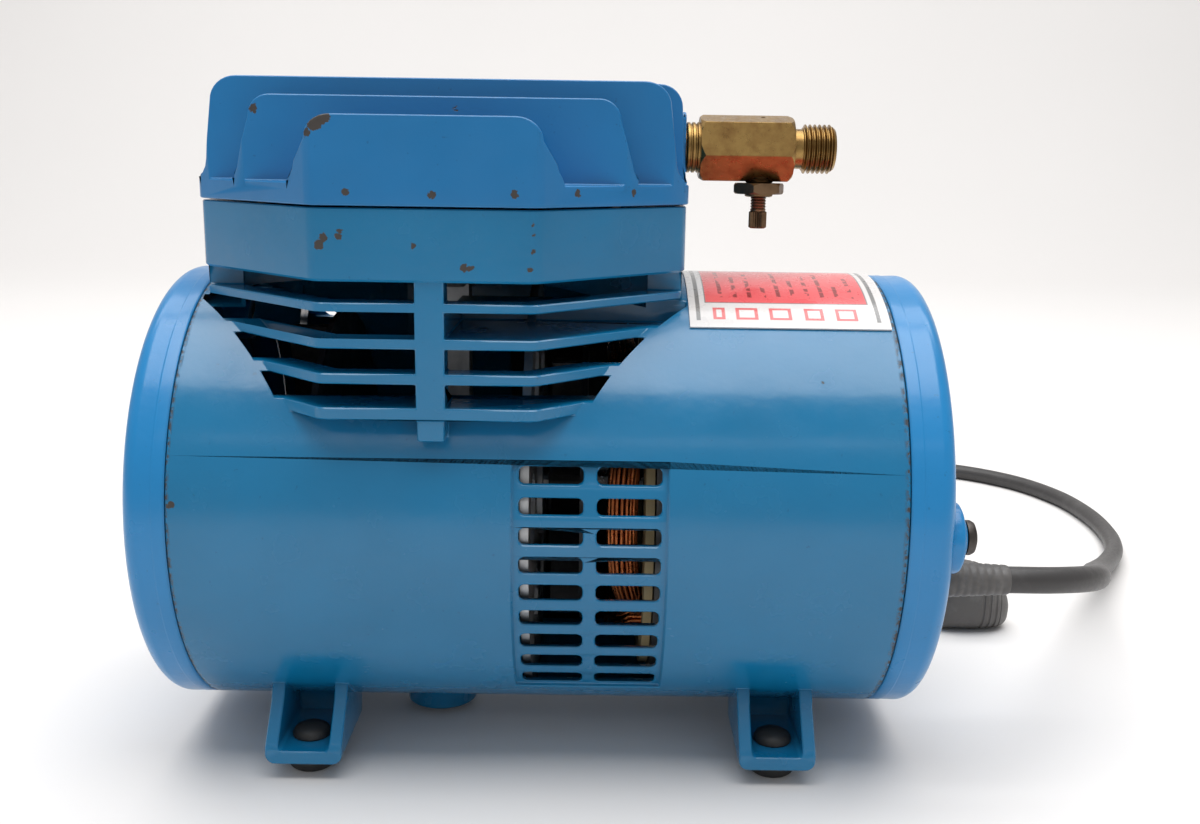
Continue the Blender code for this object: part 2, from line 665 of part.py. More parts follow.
def build_right_cap():
    rim, face = BODY_RIGHT + GAP, 129.9
    profile = [(126.4, 0), (126.4, 11.3), (118.6, 11.3), (118.6, 16.0), (127.0, 16.0),
               (127.0, BODY_R - BODY_WALL)] + cap_profile(face, rim, 1, 0, 0.5)
    cap = turned("right_end_cap", profile, 'X', (0, 0), head_paint(), BODY_SIDES)
    for k, (y, z) in enumerate(bolt_points()):
        join(cap, turned("right_pad_%d" % k, [(118.5, 0), (118.5, 6.0), (128.4, 6.0),
                                              (128.4, 9.2), (132.2, 9.2), (133.0, 8.4),
                                              (133.0, 5.4), (134.3, 5.4), (134.3, 0)], 'X',
                         (y, z), None, 14, phase=0.05 * k))
    for k, (y, z) in enumerate(bolt_points()):
        cut(cap, turned("right_hole_%d" % k, [(110, 0), (110, 2.2), (140, 2.2), (140, 0)], 'X',
                        (y, z), None, 9, phase=0.11 + 0.07 * k))
        turned("right_cap_screw_%d" % (k + 1), [(108.0, 0), (108.0, 1.8), (134.6, 1.8),
                                                (134.6, 4.5), (136.3, 4.5),
                                                (RIGHT_REACH, 3.2), (RIGHT_REACH, 0)], 'X',
               (y, z), steel(), 12)
    cut(cap, turned("cord_hole", [(110, 0), (110, 5.0), (140, 5.0), (140, 0)], 'X',
                    CORD_EXIT, None, 16))
    return cap


def build_head_screws():
    k = 0
    for x in (-SCREW_X, SCREW_X):
        for y in (-SCREW_Y, SCREW_Y):
            k += 1
            turned("head_screw_%d" % k, [(66.2, 0), (66.2, 1.95), (87.2, 1.95), (87.2, 3.8),
                                         (90.2, 3.4), (90.2, 0)], 'Z', (x, y), steel(), 10)


def build_rubber_feet():
    k = 0
    for span in FOOT_SPANS:
        for side in (-1, 1):
            k += 1
            mid = (span[0] + span[1]) / 2
            turned("rubber_foot_%d" % k,
                   [(-AXIS_Z, 0), (-AXIS_Z, 5.9), (-68.0, 7.4), (PLATE_LOW - GAP, 7.8),
                    (PLATE_LOW - GAP, 4.25), (PLATE_TOP + GAP, 4.25), (PLATE_TOP + GAP, 5.2),
                    (-59.4, 4.2), (-58.2, 0)], 'Z', (mid, side * FOOT_HOLE_Y),
                   black_rubber(), 14)


def build_nameplate():
    band = arc_band(BODY_R + GAP, BODY_R + GAP + 0.4, 84.0, 124.6, 12)
    return prism("nameplate", band, 'X', 66.8, 116.6, (91.7, 0, BODY_R), label_face())


def thread_profile(start, end, crest, root, turns):
    pitch = (end - start) / turns
    profile = []
    for k in range(turns):
        at = start + pitch * k
        profile += [(at + 0.1 * pitch, root), (at + 0.5 * pitch, crest)]
    return profile


def build_outlet():
    """Brass nipple: shank in the head, ribbed collar, hexagon, neck and male thread."""
    profile = [(57.0, 0), (57.0, 5.1), (64.3, 5.1), (64.3, 6.9), (69.0, 6.9), (92.0, 6.9),
               (93.0, 5.45)]
    profile += thread_profile(96.8, 104.6, 6.75, 5.9, 5) + [(104.8, 6.2), (105.6, 5.6),
                                                            (105.6, 0)]
    nipple = turned("outlet_nipple", profile, 'X', (0, PORT_Z), brass(), 24)
    hexagon = circle(9.47, 6, 0, PORT_Z, math.radians(90.0 - 17.0))
    bar = prism("nipple_hexagon", hexagon, 'X', 68.1, 93.9)
    ends = turned("hexagon_ends", [(68.0, 0), (68.0, 8.4), (69.2, 9.6), (92.8, 9.6),
                                   (94.0, 8.4), (94.0, 0)], 'X', (0, PORT_Z), None, 24)
    combine(bar, ends, 'INTERSECT')
    join(nipple, bar)
    cut(nipple, turned("nipple_bore", [(50, 0), (50, 3.3), (110, 3.3), (110, 0)], 'X',
                       (0, PORT_Z), None, 16),
        turned("bleed_recess", [(80.0, 0), (80.0, 4.2), (91.6, 4.2), (91.6, 2.4), (96.0, 2.4),
                                (96.0, 0)], 'Z', (BLEED_X, 0), None, 16),
        turned("nipple_vent", [(98.0, 0), (98.0, 0.6), (110, 0.6), (110, 0)], 'Z', (85.7, 0),
               None, 8))
    return nipple


def build_bleed():
    turned("bleed_valve_body", [(83.4, 2.6), (83.4, 3.5), (83.8, 3.9), (91.3, 3.9), (91.3, 2.6)],
           'Z', (BLEED_X, 0), brass(), 16, ring=True)
    nut = prism("bleed_lock_nut", circle(7.4, 6, BLEED_X, 0, math.radians(12.0)), 'Z', 84.2,
                87.2, (BLEED_X, 0, 85.7), brass())
    cut(nut, turned("lock_nut_bore", [(80, 0), (80, 4.2), (90, 4.2), (90, 0)], 'Z',
                    (BLEED_X, 0), None, 16))
    turned("bleed_screw", [(74.65, 0), (74.65, 2.1), (75.0, 2.5), (79.2, 2.5), (79.45, 2.2),
                           (88.0, 2.2), (88.0, 0)], 'Z', (BLEED_X, 0), brass(), 16)
    turned("bleed_needle", [(88.3, 0), (88.3, 2.0), (90.6, 2.0), (92.6, 0.5), (92.6, 0)], 'Z',
           (BLEED_X, 0), steel(), 20)


def build_intake():
    turned("intake_filter", [(-61.5, 0), (-61.5, 7.0), (-58.3, 7.0), (-58.3, 0)], 'X',
           (0, PORT_Z), felt(), 24)
    turned("intake_ring", [(-63.5, 4.6), (-63.5, 6.7), (-63.2, 7.0), (-61.8, 7.0),
                           (-61.8, 4.6)], 'X', (0, PORT_Z), steel(), 24, ring=True)


def smooth_route(points, spacing):
    """Evenly spaced points on a smooth curve through the given ones."""
    pts = [Vector(p) for p in points]
    pts = [pts[0] * 2 - pts[1]] + pts + [pts[-1] * 2 - pts[-2]]
    fine = []
    for i in range(1, len(pts) - 2):
        a, b, c, d = pts[i - 1:i + 3]
        for k in range(24):
            t = k / 24.0
            fine.append(0.5 * (2 * b + (c - a) * t + (2 * a - 5 * b + 4 * c - d) * t * t +
                               (3 * b - a - 3 * c + d) * t ** 3))
    fine.append(pts[-2])
    total = sum((q - p).length for p, q in zip(fine, fine[1:]))
    count = max(2, round(total / spacing))
    out, walked, goal = [fine[0]], 0.0, total / count
    for p, q in zip(fine, fine[1:]):
        step = (q - p).length
        while walked + step >= goal - 1e-9 and len(out) < count:
            out.append(p.lerp(q, (goal - walked) / step))
            goal += total / count
        walked += step
    return out + [fine[-1]]


def cord(name, points):
    curve = bpy.data.curves.new(name, 'CURVE')
    curve.dimensions = '3D'
    curve.bevel_depth = CORD_R * MM
    curve.bevel_resolution = 2
    curve.use_fill_caps = True
    route = smooth_route(points, 17.0)
    spline = curve.splines.new('POLY')
    spline.points.add(len(route) - 1)
    for point, at in zip(spline.points, route):
        point.co = (*((at - route[0]) * MM), 1.0)
    obj = bpy.data.objects.new(name, curve)
    obj.location = to_world(route[0])
    curve.materials.append(cord_jacket())
    bpy.context.scene.collection.objects.link(obj)
    return obj


GROUND = -AXIS_Z + CORD_R

LEAD_ROUTE = ((152.3, -37.0, -15.8), (162.3, -35.6, -16.3), (171.5, -31.4, -17.5),
              (179.0, -24.8, -19.4), (184.4, -16.4, -21.9), (191.6, 0.0, -27.0),
              (200.2, 22.0, -34.2), (211.8, 50.0, -43.5), (227.2, 83.0, -54.0),
              (243.5, 112.0, -61.0), (258.6, 140.0, -64.8), (267.6, 168.0, GROUND),
              (270.5, 198.0, GROUND), (267.0, 228.0, GROUND), (254.0, 256.0, GROUND),
              (229.0, 277.0, GROUND), (196.0, 284.0, GROUND), (150.0, 270.0, GROUND),
              (100.0, 246.0, GROUND), (45.0, 223.0, GROUND), (6.0, 204.0, GROUND),
              (-13.0, 178.0, GROUND), (-17.1, 150.0, GROUND))
TAIL_ROUTE = ((38.0, 94.7, GROUND), (66.0, 93.0, GROUND), (100.0, 84.0, GROUND),
              (126.0, 73.0, -64.0), (140.0, 69.2, -61.0), (152.7, 68.5, -60.0))


def build_cord():
    tapered("cord_strain_relief", [((x, *CORD_EXIT), radius) for x, radius in
                                   ((123.6, 4.5), (130.4, 4.5), (130.5, 7.0), (134.0, 6.4),
                                    (140.0, 5.7), (146.0, 5.1), (151.4, 4.5))], cord_jacket())
    cord("cord_lead", LEAD_ROUTE)
    x, y = COIL_AT
    low, high = -AXIS_Z, -AXIS_Z + 4 * CORD_R
    section = [(low, COIL_MID_R - 8.0), (low, COIL_MID_R + 8.0), (low + 3.0, COIL_MID_R + 11.0),
               (high - 3.0, COIL_MID_R + 11.0), (high, COIL_MID_R + 8.0),
               (high, COIL_MID_R - 8.0), (high - 3.0, COIL_MID_R - 11.0),
               (low + 3.0, COIL_MID_R - 11.0)]
    turned("cord_coil", section, 'Z', (x, y), cord_jacket(), 32, ring=True)
    cord("cord_tail", TAIL_ROUTE)
    build_plug()


def tapered(name, stations, material, count=12):
    """Solid through circles of the given radii on the given centres."""
    verts, faces = [], []
    total = len(stations)
    for i, (at, radius) in enumerate(stations):
        before = Vector(stations[max(i - 1, 0)][0])
        after = Vector(stations[min(i + 1, total - 1)][0])
        ahead = (after - before).normalized()
        side = ahead.cross(Vector((0, 0, 1))).normalized()
        up = side.cross(ahead)
        verts += [tuple(Vector(at) + side * a + up * b) for a, b in circle(radius, count)]
    for i in range(total - 1):
        for j in range(count):
            k = (j + 1) % count
            faces.append((i * count + j, i * count + k, (i + 1) * count + k, (i + 1) * count + j))
    faces.append(tuple(range(count)))
    faces.append(tuple(range(total * count - 1, (total - 1) * count - 1, -1)))
    return solid(name, verts, faces, stations[0][0], material)


def plug_section(half_wide, half_tall, count=16):
    ring = []
    for k in range(count):
        t = 2 * math.pi * k / count
        c, s = math.cos(t), math.sin(t)
        ring.append((half_wide * math.copysign(abs(c) ** 0.55, c),
                     half_tall * math.copysign(abs(s) ** 0.55, s)))
    return ring


def build_plug():
    """Moulded plug lying on its side: cord enters from -X, the blades point to +Y."""
    stations = ((153.4, 4.2, 4.2, -60.0), (158.0, 6.0, 6.2, -60.0), (163.0, 9.5, 9.8, -59.6),
                (168.0, 11.8, 11.8, -58.2), (180.0, 12.2, 11.8, -58.2), (187.0, 11.0, 10.8, -59.0),
                (190.0, 8.0, 8.0, -60.5))
    verts, faces, count = [], [], 16
    for x, wide, tall, z in stations:
        verts += [(x, 68.5 + a, z + b) for a, b in plug_section(wide, tall, count)]
    for i in range(len(stations) - 1):
        for j in range(count):
            k = (j + 1) % count
            faces.append((i * count + j, i * count + k, (i + 1) * count + k, (i + 1) * count + j))
    faces.append(tuple(range(count)))
    last = (len(stations) - 1) * count
    faces.append(tuple(range(last + count - 1, last - 1, -1)))
    solid("plug_body", verts, faces, (153.4, 68.5, -60.0), cord_jacket())
    for k, z in enumerate((-64.4, -52.0)):
        blade = prism("plug_blade_%d" % (k + 1),
                      [(169.9, 81.2), (176.1, 81.2), (176.1, 96.0), (174.6, 97.5),
                       (171.4, 97.5), (169.9, 96.0)], 'Z', z - 0.75, z + 0.75,
                      (173.0, 81.2, z), brass())
        blade.name = "plug_blade_%d" % (k + 1)


def main():
    clear_scene()
    build_housing()
    build_head()
    build_valves()
    build_diaphragm()
    build_rod()
    build_running_gear()
    build_bracket()
    fan("cooling_fan_left", -46.0, -32.0, 1.6, 50.0, 8)
    fan("cooling_fan_right", 27.0, 38.0, 1.6, 40.0, 8)
    build_motor()
    build_left_cap()
    build_right_cap()
    build_head_screws()
    build_rubber_feet()
    build_nameplate()
    build_outlet()
    build_bleed()
    build_intake()
    build_cord()


main()
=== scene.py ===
"""Looks for the oilless diaphragm compressor: paint, brass, windings, cord, label and studio."""

import math
import random

import bmesh
import bpy
from mathutils import Matrix, Vector
from mathutils.geometry import convex_hull_2d


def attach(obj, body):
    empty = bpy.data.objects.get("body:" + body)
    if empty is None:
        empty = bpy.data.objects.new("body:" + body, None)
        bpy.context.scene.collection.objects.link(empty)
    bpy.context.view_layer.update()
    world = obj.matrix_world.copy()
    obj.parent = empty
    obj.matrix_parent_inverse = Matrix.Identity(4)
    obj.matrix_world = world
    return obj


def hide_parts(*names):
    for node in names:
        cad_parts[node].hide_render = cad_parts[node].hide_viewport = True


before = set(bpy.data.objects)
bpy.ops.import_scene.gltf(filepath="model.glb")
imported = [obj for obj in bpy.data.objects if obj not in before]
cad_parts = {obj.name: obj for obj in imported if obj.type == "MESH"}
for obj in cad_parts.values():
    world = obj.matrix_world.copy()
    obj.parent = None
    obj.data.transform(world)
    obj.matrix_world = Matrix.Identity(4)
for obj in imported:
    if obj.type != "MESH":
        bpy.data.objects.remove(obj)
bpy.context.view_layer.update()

MM = 0.001
CRANK_X = -30.35
AXIS_Z = 70.0
GAP = 0.3
BODY_R = 61.6
BODY_LEFT, BODY_RIGHT = -64.77, 117.79
PORT_Z = 96.7
BLEED_X = 85.2
CORD_R = 3.65
CORD_EXIT = (-37.0, -15.8)
COIL_AT = (38.0, 150.0)
GROUND = -AXIS_Z + CORD_R
FOOT_SPANS = ((-46.0, -25.7), (79.6, 99.9))


def to_world(p):
    """Metres in the row frame from millimetres measured from the motor axis."""
    return Vector(((p[0] + CRANK_X) * MM, p[1] * MM, (p[2] + AXIS_Z) * MM))


# ---------------------------------------------------------------- camera

SENSOR_MM, FOCAL_PER_WIDTH = 36.0, 1211.93 / 1200.0
CAMERA_AT = (40.40, -346.25, 93.50)
CAMERA_TURN = (11.845, 0.188, 0.855)  # degrees down, to the right and rolled


def add_object(name, data):
    """A new object of the scene that shows the mesh, curve, lamp or camera."""
    obj = bpy.data.objects.new(name, data)
    bpy.context.scene.collection.objects.link(obj)
    return obj


def make_camera():
    data = bpy.data.cameras.new("camera")
    data.sensor_width = SENSOR_MM
    data.lens = SENSOR_MM * FOCAL_PER_WIDTH
    cam = add_object("camera", data)
    pitch, yaw, roll = (math.radians(a) for a in CAMERA_TURN)
    ahead = Vector((math.sin(yaw) * math.cos(pitch), math.cos(yaw) * math.cos(pitch),
                    -math.sin(pitch)))
    right = Vector((math.cos(yaw), -math.sin(yaw), 0.0))
    up = right.cross(ahead)
    right_r = right * math.cos(roll) + up * math.sin(roll)
    up_r = up * math.cos(roll) - right * math.sin(roll)
    turn = Matrix((right_r, up_r, -ahead)).transposed().to_4x4()
    cam.matrix_world = Matrix.Translation(to_world(CAMERA_AT)) @ turn
    bpy.context.scene.camera = cam


make_camera()


# ---------------------------------------------------------------- node helpers

class Graph:
    """A material being built: shader sockets, nodes and links by short names."""

    def __init__(self, name, color, metallic=0.0, rough=0.5):
        self.mat = bpy.data.materials.new(name)
        self.mat.use_nodes = True
        self.tree = self.mat.node_tree
        self.shader = self.tree.nodes["Principled BSDF"]
        self.set("Base Color", (*color, 1.0))
        self.set("Metallic", metallic)
        self.set("Roughness", rough)
        self.mat.diffuse_color = (*color, 1.0)
        self.coord = self.tree.nodes.new("ShaderNodeTexCoord").outputs["Object"]

    def set(self, socket, value):
        self.shader.inputs[socket].default_value = value

    def node(self, kind, **values):
        made = self.tree.nodes.new("ShaderNode" + kind)
        for key, value in values.items():
            if hasattr(made, key):
                setattr(made, key, value)
            else:
                made.inputs[key.replace("_", " ")].default_value = value
        return made

    def link(self, source, target):
        self.tree.links.new(source, target)

    def noise(self, scale, detail=3.0, rough=0.55, stretch=None):
        made = self.node("TexNoise")
        made.inputs["Scale"].default_value = scale
        made.inputs["Detail"].default_value = detail
        made.inputs["Roughness"].default_value = rough
        source = self.coord
        if stretch:
            mapping = self.node("Mapping")
            mapping.inputs["Scale"].default_value = stretch
            self.link(self.coord, mapping.inputs["Vector"])
            source = mapping.outputs["Vector"]
        self.link(source, made.inputs["Vector"])
        return made.outputs["Fac"]

    def ramp(self, source, low, high, to_low=0.0, to_high=1.0):
        made = self.node("MapRange")
        made.clamp = True
        for key, value in (("From Min", low), ("From Max", high), ("To Min", to_low),
                           ("To Max", to_high)):
            made.inputs[key].default_value = value
        self.link(source, made.inputs["Value"])
        return made.outputs["Result"]

    def math(self, kind, a, b=None):
        made = self.node("Math")
        made.operation = kind
        for k, v in enumerate((a, b)):
            if v is None:
                continue
            if isinstance(v, (int, float)):
                made.inputs[k].default_value = v
            else:
                self.link(v, made.inputs[k])
        return made.outputs[0]

    def axis(self, which):
        made = self.node("SeparateXYZ")
        self.link(self.coord, made.inputs[0])
        return made.outputs[which]

    def mix(self, factor, one, two):
        made = self.node("Mix")
        made.data_type = 'RGBA'
        for key, v in ((0, factor), (6, one), (7, two)):
            if isinstance(v, (int, float)):
                made.inputs[key].default_value = v
            elif isinstance(v, tuple):
                made.inputs[key].default_value = (*v, 1.0)
            else:
                self.link(v, made.inputs[key])
        return made.outputs[2]

    def bump(self, height, strength, distance, normal=None):
        made = self.node("Bump")
        made.inputs["Strength"].default_value = strength
        made.inputs["Distance"].default_value = distance
        self.link(height, made.inputs["Height"])
        if normal is not None:
            self.link(normal, made.inputs["Normal"])
        return made.outputs["Normal"]

    def crevice(self, distance, low, high):
        """Ambient-occlusion mask for painted shade: 1 deep in corners, 0 on open surfaces."""
        made = self.node("AmbientOcclusion")
        made.samples = 6
        made.inputs["Distance"].default_value = distance
        return self.ramp(made.outputs["AO"], low, high, 1.0, 0.0)

    def cover(self, total, part):
        """The larger of two masks; the first may be missing."""
        return part if total is None else self.math('MAXIMUM', total, part)

    def near(self, points, ragged):
        """Mask of ragged spots, each given by its place and its radius in mm."""
        total = None
        wobble = self.ramp(self.noise(900.0, 3.0, 0.7), 0.3, 0.7, -ragged * MM, ragged * MM)
        for at, size in points:
            made = self.node("VectorMath")
            made.operation = 'DISTANCE'
            self.link(self.coord, made.inputs[0])
            made.inputs[1].default_value = [v * MM for v in at]
            far = self.math('ADD', made.outputs["Value"], wobble)
            spot = self.ramp(far, size * MM, (size + 0.12) * MM, 1.0, 0.0)
            total = self.cover(total, spot)
        return total

    def finish(self, color=None, rough=None, normal=None, metallic=None):
        for socket, value in (("Base Color", color), ("Roughness", rough), ("Normal", normal),
                              ("Metallic", metallic)):
            if value is not None:
                self.link(value, self.shader.inputs[socket])
        return self.mat


def paint(name, color, dust_and_shade, chips=(), seams=(), rough=(0.16, 0.30)):
    """Sprayed enamel on a casting: soft waves, orange peel, worn seams, chips, painted shade in
    corners.
    """
    g = Graph(name, color, 0.0, sum(rough) / 2)
    g.set("Specular IOR Level", 0.45)
    g.set("Coat Weight", 0.25)
    g.set("Coat Roughness", 0.12)
    tone = g.ramp(g.noise(26.0, 3.0), 0.3, 0.7)
    base = g.mix(tone, tuple(c * 0.93 for c in color), tuple(min(1, c * 1.06) for c in color))
    freckle = g.ramp(g.noise(620.0, 2.0, 0.6), 0.71, 0.76)
    base = g.mix(g.math('MULTIPLY', freckle, 0.35), base, tuple(c * 0.35 for c in color))
    # Painted shade: an ambient-occlusion mask, broken up by noise, darkens the enamel toward its
    # dark shade tint in corners.
    corner_shade = g.math('MULTIPLY', g.crevice(0.006, 0.25, 0.8), g.ramp(g.noise(160.0), 0.3, 0.7,
                                                                   0.35, 0.9))
    base = g.mix(g.math('MULTIPLY', corner_shade, 0.55), base, dust_and_shade)
    worn = None
    if chips:
        worn = g.near(chips, 0.45)
    if seams:
        x = g.axis(0)
        grain = g.ramp(g.noise(700.0, 4.0, 0.7), 0.46, 0.56)
        for at, width in seams:
            off = g.math('ABSOLUTE', g.math('SUBTRACT', x, at * MM))
            line = g.math('MULTIPLY', g.ramp(off, width * 0.4 * MM, width * MM, 1.0, 0.0), grain)
            worn = g.cover(worn, line)
    if worn is not None:
        base = g.mix(worn, base, (0.045, 0.038, 0.034))
    level = g.ramp(g.noise(90.0, 3.0), 0.3, 0.7, rough[0], rough[1])
    if worn is not None:
        level = g.math('MAXIMUM', level, g.math('MULTIPLY', worn, 0.7))
    normal = g.bump(g.noise(70.0, 2.0), 0.25, 0.0006)
    normal = g.bump(g.noise(520.0, 2.0, 0.5), 0.35, 0.00012, normal)
    if worn is not None:
        normal = g.bump(g.math('SUBTRACT', 1.0, worn), 0.6, 0.00012, normal)
    return g.finish(base, level, normal)


def metal(name, color, dark, rough=(0.22, 0.4), streak=None, stain=0.5, metallic=1.0):
    """Bare metal with uneven tarnish, faint tool marks and painted shade in the corners."""
    g = Graph(name, color, metallic, sum(rough) / 2)
    blot = g.ramp(g.noise(220.0, 4.0, 0.65), 0.42, 0.68)
    base = g.mix(g.math('MULTIPLY', blot, stain), color, dark)
    # Painted shade: darker in corners, from an ambient-occlusion mask.
    base = g.mix(g.math('MULTIPLY', g.crevice(0.002, 0.2, 0.8), 0.5), base,
                 tuple(c * 0.25 for c in dark))
    marks = g.noise(700.0, 3.0, 0.6, streak or (1.0, 1.0, 1.0))
    level = g.ramp(marks, 0.3, 0.7, rough[0], rough[1])
    return g.finish(base, level, g.bump(marks, 0.25, 0.00005))


def rubber(name, color, rough=(0.5, 0.68), dust=0.12, scale=500.0):
    """Moulded rubber or vinyl: fine grain and a little pale dust."""
    g = Graph(name, color, 0.0, sum(rough) / 2)
    dust_and_shade = g.ramp(g.noise(120.0, 4.0, 0.7), 0.5, 0.8)
    base = g.mix(g.math('MULTIPLY', dust_and_shade, dust), color, (0.32, 0.31, 0.30))
    grain = g.noise(scale, 3.0, 0.6)
    return g.finish(base, g.ramp(grain, 0.3, 0.7, rough[0], rough[1]),
                    g.bump(grain, 0.22, 0.00008))


# ---------------------------------------------------------------- shape helpers

def spin_point(axis, along, a, b):
    if axis == 'X':
        return (along, a, b)
    if axis == 'Y':
        return (a, along, b)
    return (a, b, along)


def circle(radius, count, a=0.0, b=0.0, start=0.0):
    turn = [start + 2.0 * math.pi * i / count for i in range(count)]
    return [(a + radius * math.cos(t), b + radius * math.sin(t)) for t in turn]


def solid(name, verts, faces, at=(0, 0, 0), material=None):
    base = Vector(at)
    mesh = bpy.data.meshes.new(name)
    mesh.from_pydata([(Vector(v) - base) * MM for v in verts], [], faces)
    bm = bmesh.new()
    bm.from_mesh(mesh)
    bmesh.ops.recalc_face_normals(bm, faces=bm.faces)
    bm.to_mesh(mesh)
    bm.free()
    obj = add_object(name, mesh)
    obj.location = to_world(at)
    if material is not None:
        mesh.materials.append(material)
    return obj


def smooth(obj, angle=38.0):
    obj.data.shade_smooth()
    obj.data.set_sharp_from_angle(angle=math.radians(angle))
    return obj


def loft_faces(count, rows=2):
    """Faces round a loft whose rows have `count` points each, and over both its ends."""
    faces = [tuple(range(count)), tuple(range(rows * count - 1, (rows - 1) * count - 1, -1))]
    for low in range(0, (rows - 1) * count, count):
        for i in range(count):
            j = (i + 1) % count
            faces.append((low + i, low + j, low + count + j, low + count + i))
    return faces


def prism_parts(outline, axis, low, high):
    verts = [spin_point(axis, along, a, b) for along in (low, high) for a, b in outline]
    return verts, loft_faces(len(outline))


def prisms(name, pieces, at=(0, 0, 0), material=None):
    verts, faces = [], []
    for outline, axis, low, high in pieces:
        more, rings = prism_parts(outline, axis, low, high)
        shift = len(verts)
        verts += more
        faces += [tuple(i + shift for i in ring) for ring in rings]
    return solid(name, verts, faces, at, material)


def box_piece(x, y, z):
    return ([(y[0], z[0]), (y[1], z[0]), (y[1], z[1]), (y[0], z[1])], 'X', x[0], x[1])


def octagon(half):
    side = half * math.tan(math.pi / 8.0)
    return [(half, -side), (half, side), (side, half), (-side, half),
            (-half, side), (-half, -side), (-side, -half), (side, -half)]


def rounded(outline, radius, steps=4):
    """Outline with each corner replaced by an arc of about the given radius."""
    out, total = [], len(outline)
    for i, p in enumerate(outline):
        a, b, c = (Vector(outline[i - 1]), Vector(p), Vector(outline[(i + 1) % total]))
        one, two = (a - b), (c - b)
        angle = one.angle(two)
        cut_len = min(radius / math.tan(angle / 2), one.length * 0.49, two.length * 0.49)
        r = cut_len * math.tan(angle / 2)
        start, end = b + one.normalized() * cut_len, b + two.normalized() * cut_len
        mid_dir = (one.normalized() + two.normalized())
        if mid_dir.length < 1e-6 or r < 1e-4:
            out.append(tuple(b))
            continue
        centre = b + mid_dir.normalized() * (r / math.sin(angle / 2))
        u, w = start - centre, end - centre
        swing = u.angle(w)
        for k in range(steps + 1):
            f = k / steps
            v = (u * math.sin((1 - f) * swing) + w * math.sin(f * swing)) / math.sin(swing)
            out.append(tuple(centre + v))
    return out


def turned(name, profile, axis, centre, material=None, count=64, ring=False, phase=0.0):
    verts, rows = [], []
    if material is None:
        phase += 0.0117
    for along, radius in profile:
        if radius < 1e-6:
            rows.append([len(verts)] * count)
            verts.append(spin_point(axis, along, 0.0, 0.0))
            continue
        rows.append(list(range(len(verts), len(verts) + count)))
        verts += [spin_point(axis, along, a, b) for a, b in circle(radius, count, start=phase)]
    faces = []
    last = len(rows) if ring else len(rows) - 1
    for k in range(last):
        one, two = rows[k], rows[(k + 1) % len(rows)]
        for i in range(count):
            j = (i + 1) % count
            face = []
            for v in (one[i], one[j], two[j], two[i]):
                if v not in face:
                    face.append(v)
            if len(face) > 2:
                faces.append(tuple(face))
    shift = spin_point(axis, 0.0, centre[0], centre[1])
    verts = [(v[0] + shift[0], v[1] + shift[1], v[2] + shift[2]) for v in verts]
    mid = (profile[0][0] + profile[-1][0]) / 2.0
    obj = solid(name, verts, faces, spin_point(axis, mid, *centre), material)
    return smooth(obj) if material is not None else obj


def combine(target, tool, operation):
    step = target.modifiers.new(tool.name, 'BOOLEAN')
    step.operation = operation
    step.solver = 'EXACT'
    step.object = tool
    return target


def cut(target, *tools):
    for tool in tools:
        combine(target, tool, 'DIFFERENCE')
    return target


def join(target, *tools):
    for tool in tools:
        combine(target, tool, 'UNION')
    return target


def bake_shape(obj, width=0.0, segments=2, angle=28.0, sharp=44.0, flat=0.6):
    """Apply the modifiers, tidy the mesh and round its edges; the tools are removed."""
    tools = set()
    stack = [obj]
    while stack:
        for step in stack.pop().modifiers:
            if step.type == 'BOOLEAN' and step.object not in tools:
                tools.add(step.object)
                stack.append(step.object)
    bpy.context.view_layer.update()
    done = bpy.data.meshes.new_from_object(
        obj.evaluated_get(bpy.context.evaluated_depsgraph_get()))
    obj.modifiers.clear()
    for tool in tools:
        bpy.data.objects.remove(tool, do_unlink=True)
    bm = bmesh.new()
    bm.from_mesh(done)
    bmesh.ops.remove_doubles(bm, verts=bm.verts, dist=2e-5)
    bmesh.ops.dissolve_degenerate(bm, edges=bm.edges, dist=1e-5)
    bmesh.ops.dissolve_limit(bm, angle_limit=math.radians(flat), verts=bm.verts,
                             edges=bm.edges, delimit={'NORMAL'})
    if width > 0.0:
        edges = [e for e in bm.edges if len(e.link_faces) == 2
                 and e.calc_face_angle(0.0) > math.radians(angle)]
        bmesh.ops.bevel(bm, geom=edges, offset=width * MM, offset_type='OFFSET',
                        segments=segments, profile=0.5, affect='EDGES', clamp_overlap=False)
        bmesh.ops.remove_doubles(bm, verts=bm.verts, dist=1e-5)
    bmesh.ops.recalc_face_normals(bm, faces=bm.faces)
    bm.to_mesh(done)
    bm.free()
    obj.data = done
    smooth(obj, sharp)
    weigh = obj.modifiers.new("weighted", 'WEIGHTED_NORMAL')
    weigh.keep_sharp = True
    return obj


def round_normals(obj):
    """Give the faces on the tube's outside the tube's own normals, however they are divided."""
    mesh = obj.data
    obj.modifiers.clear()
    normals = [tuple(n.vector) for n in mesh.corner_normals]
    axis = to_world((0, 0, 0)) - obj.location
    for face in mesh.polygons:
        rims = [(mesh.vertices[v].co - axis).yz.length for v in face.vertices]
        if abs(face.normal.x) > 0.2 or max(abs(r - BODY_R * MM) for r in rims) > 0.06 * MM:
            continue
        for corner in face.loop_indices:
            at = mesh.vertices[mesh.loops[corner].vertex_index].co - axis
            normals[corner] = tuple(Vector((0.0, at.y, at.z)).normalized())
    mesh.normals_split_custom_set(normals)


def stand_in(obj, node, body="housing"):
    """obj is shown instead of the CAD node and moves with its body."""
    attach(obj, body)
    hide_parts(*([node] if isinstance(node, str) else node))
    return obj


def wires(name, paths, radius, resolution, material, cyclic=False):
    """Round wires of the given radius in mm along paths of world-frame points in metres."""
    curve = bpy.data.curves.new(name, 'CURVE')
    curve.dimensions = '3D'
    curve.bevel_depth = radius * MM
    curve.bevel_resolution = resolution
    curve.use_fill_caps = not cyclic
    for path in paths:
        spline = curve.splines.new('POLY')
        spline.points.add(len(path) - 1)
        for point, at in zip(spline.points, path):
            point.co = (*at, 1.0)
        spline.use_cyclic_u = cyclic
    curve.materials.append(material)
    return add_object(name, curve)


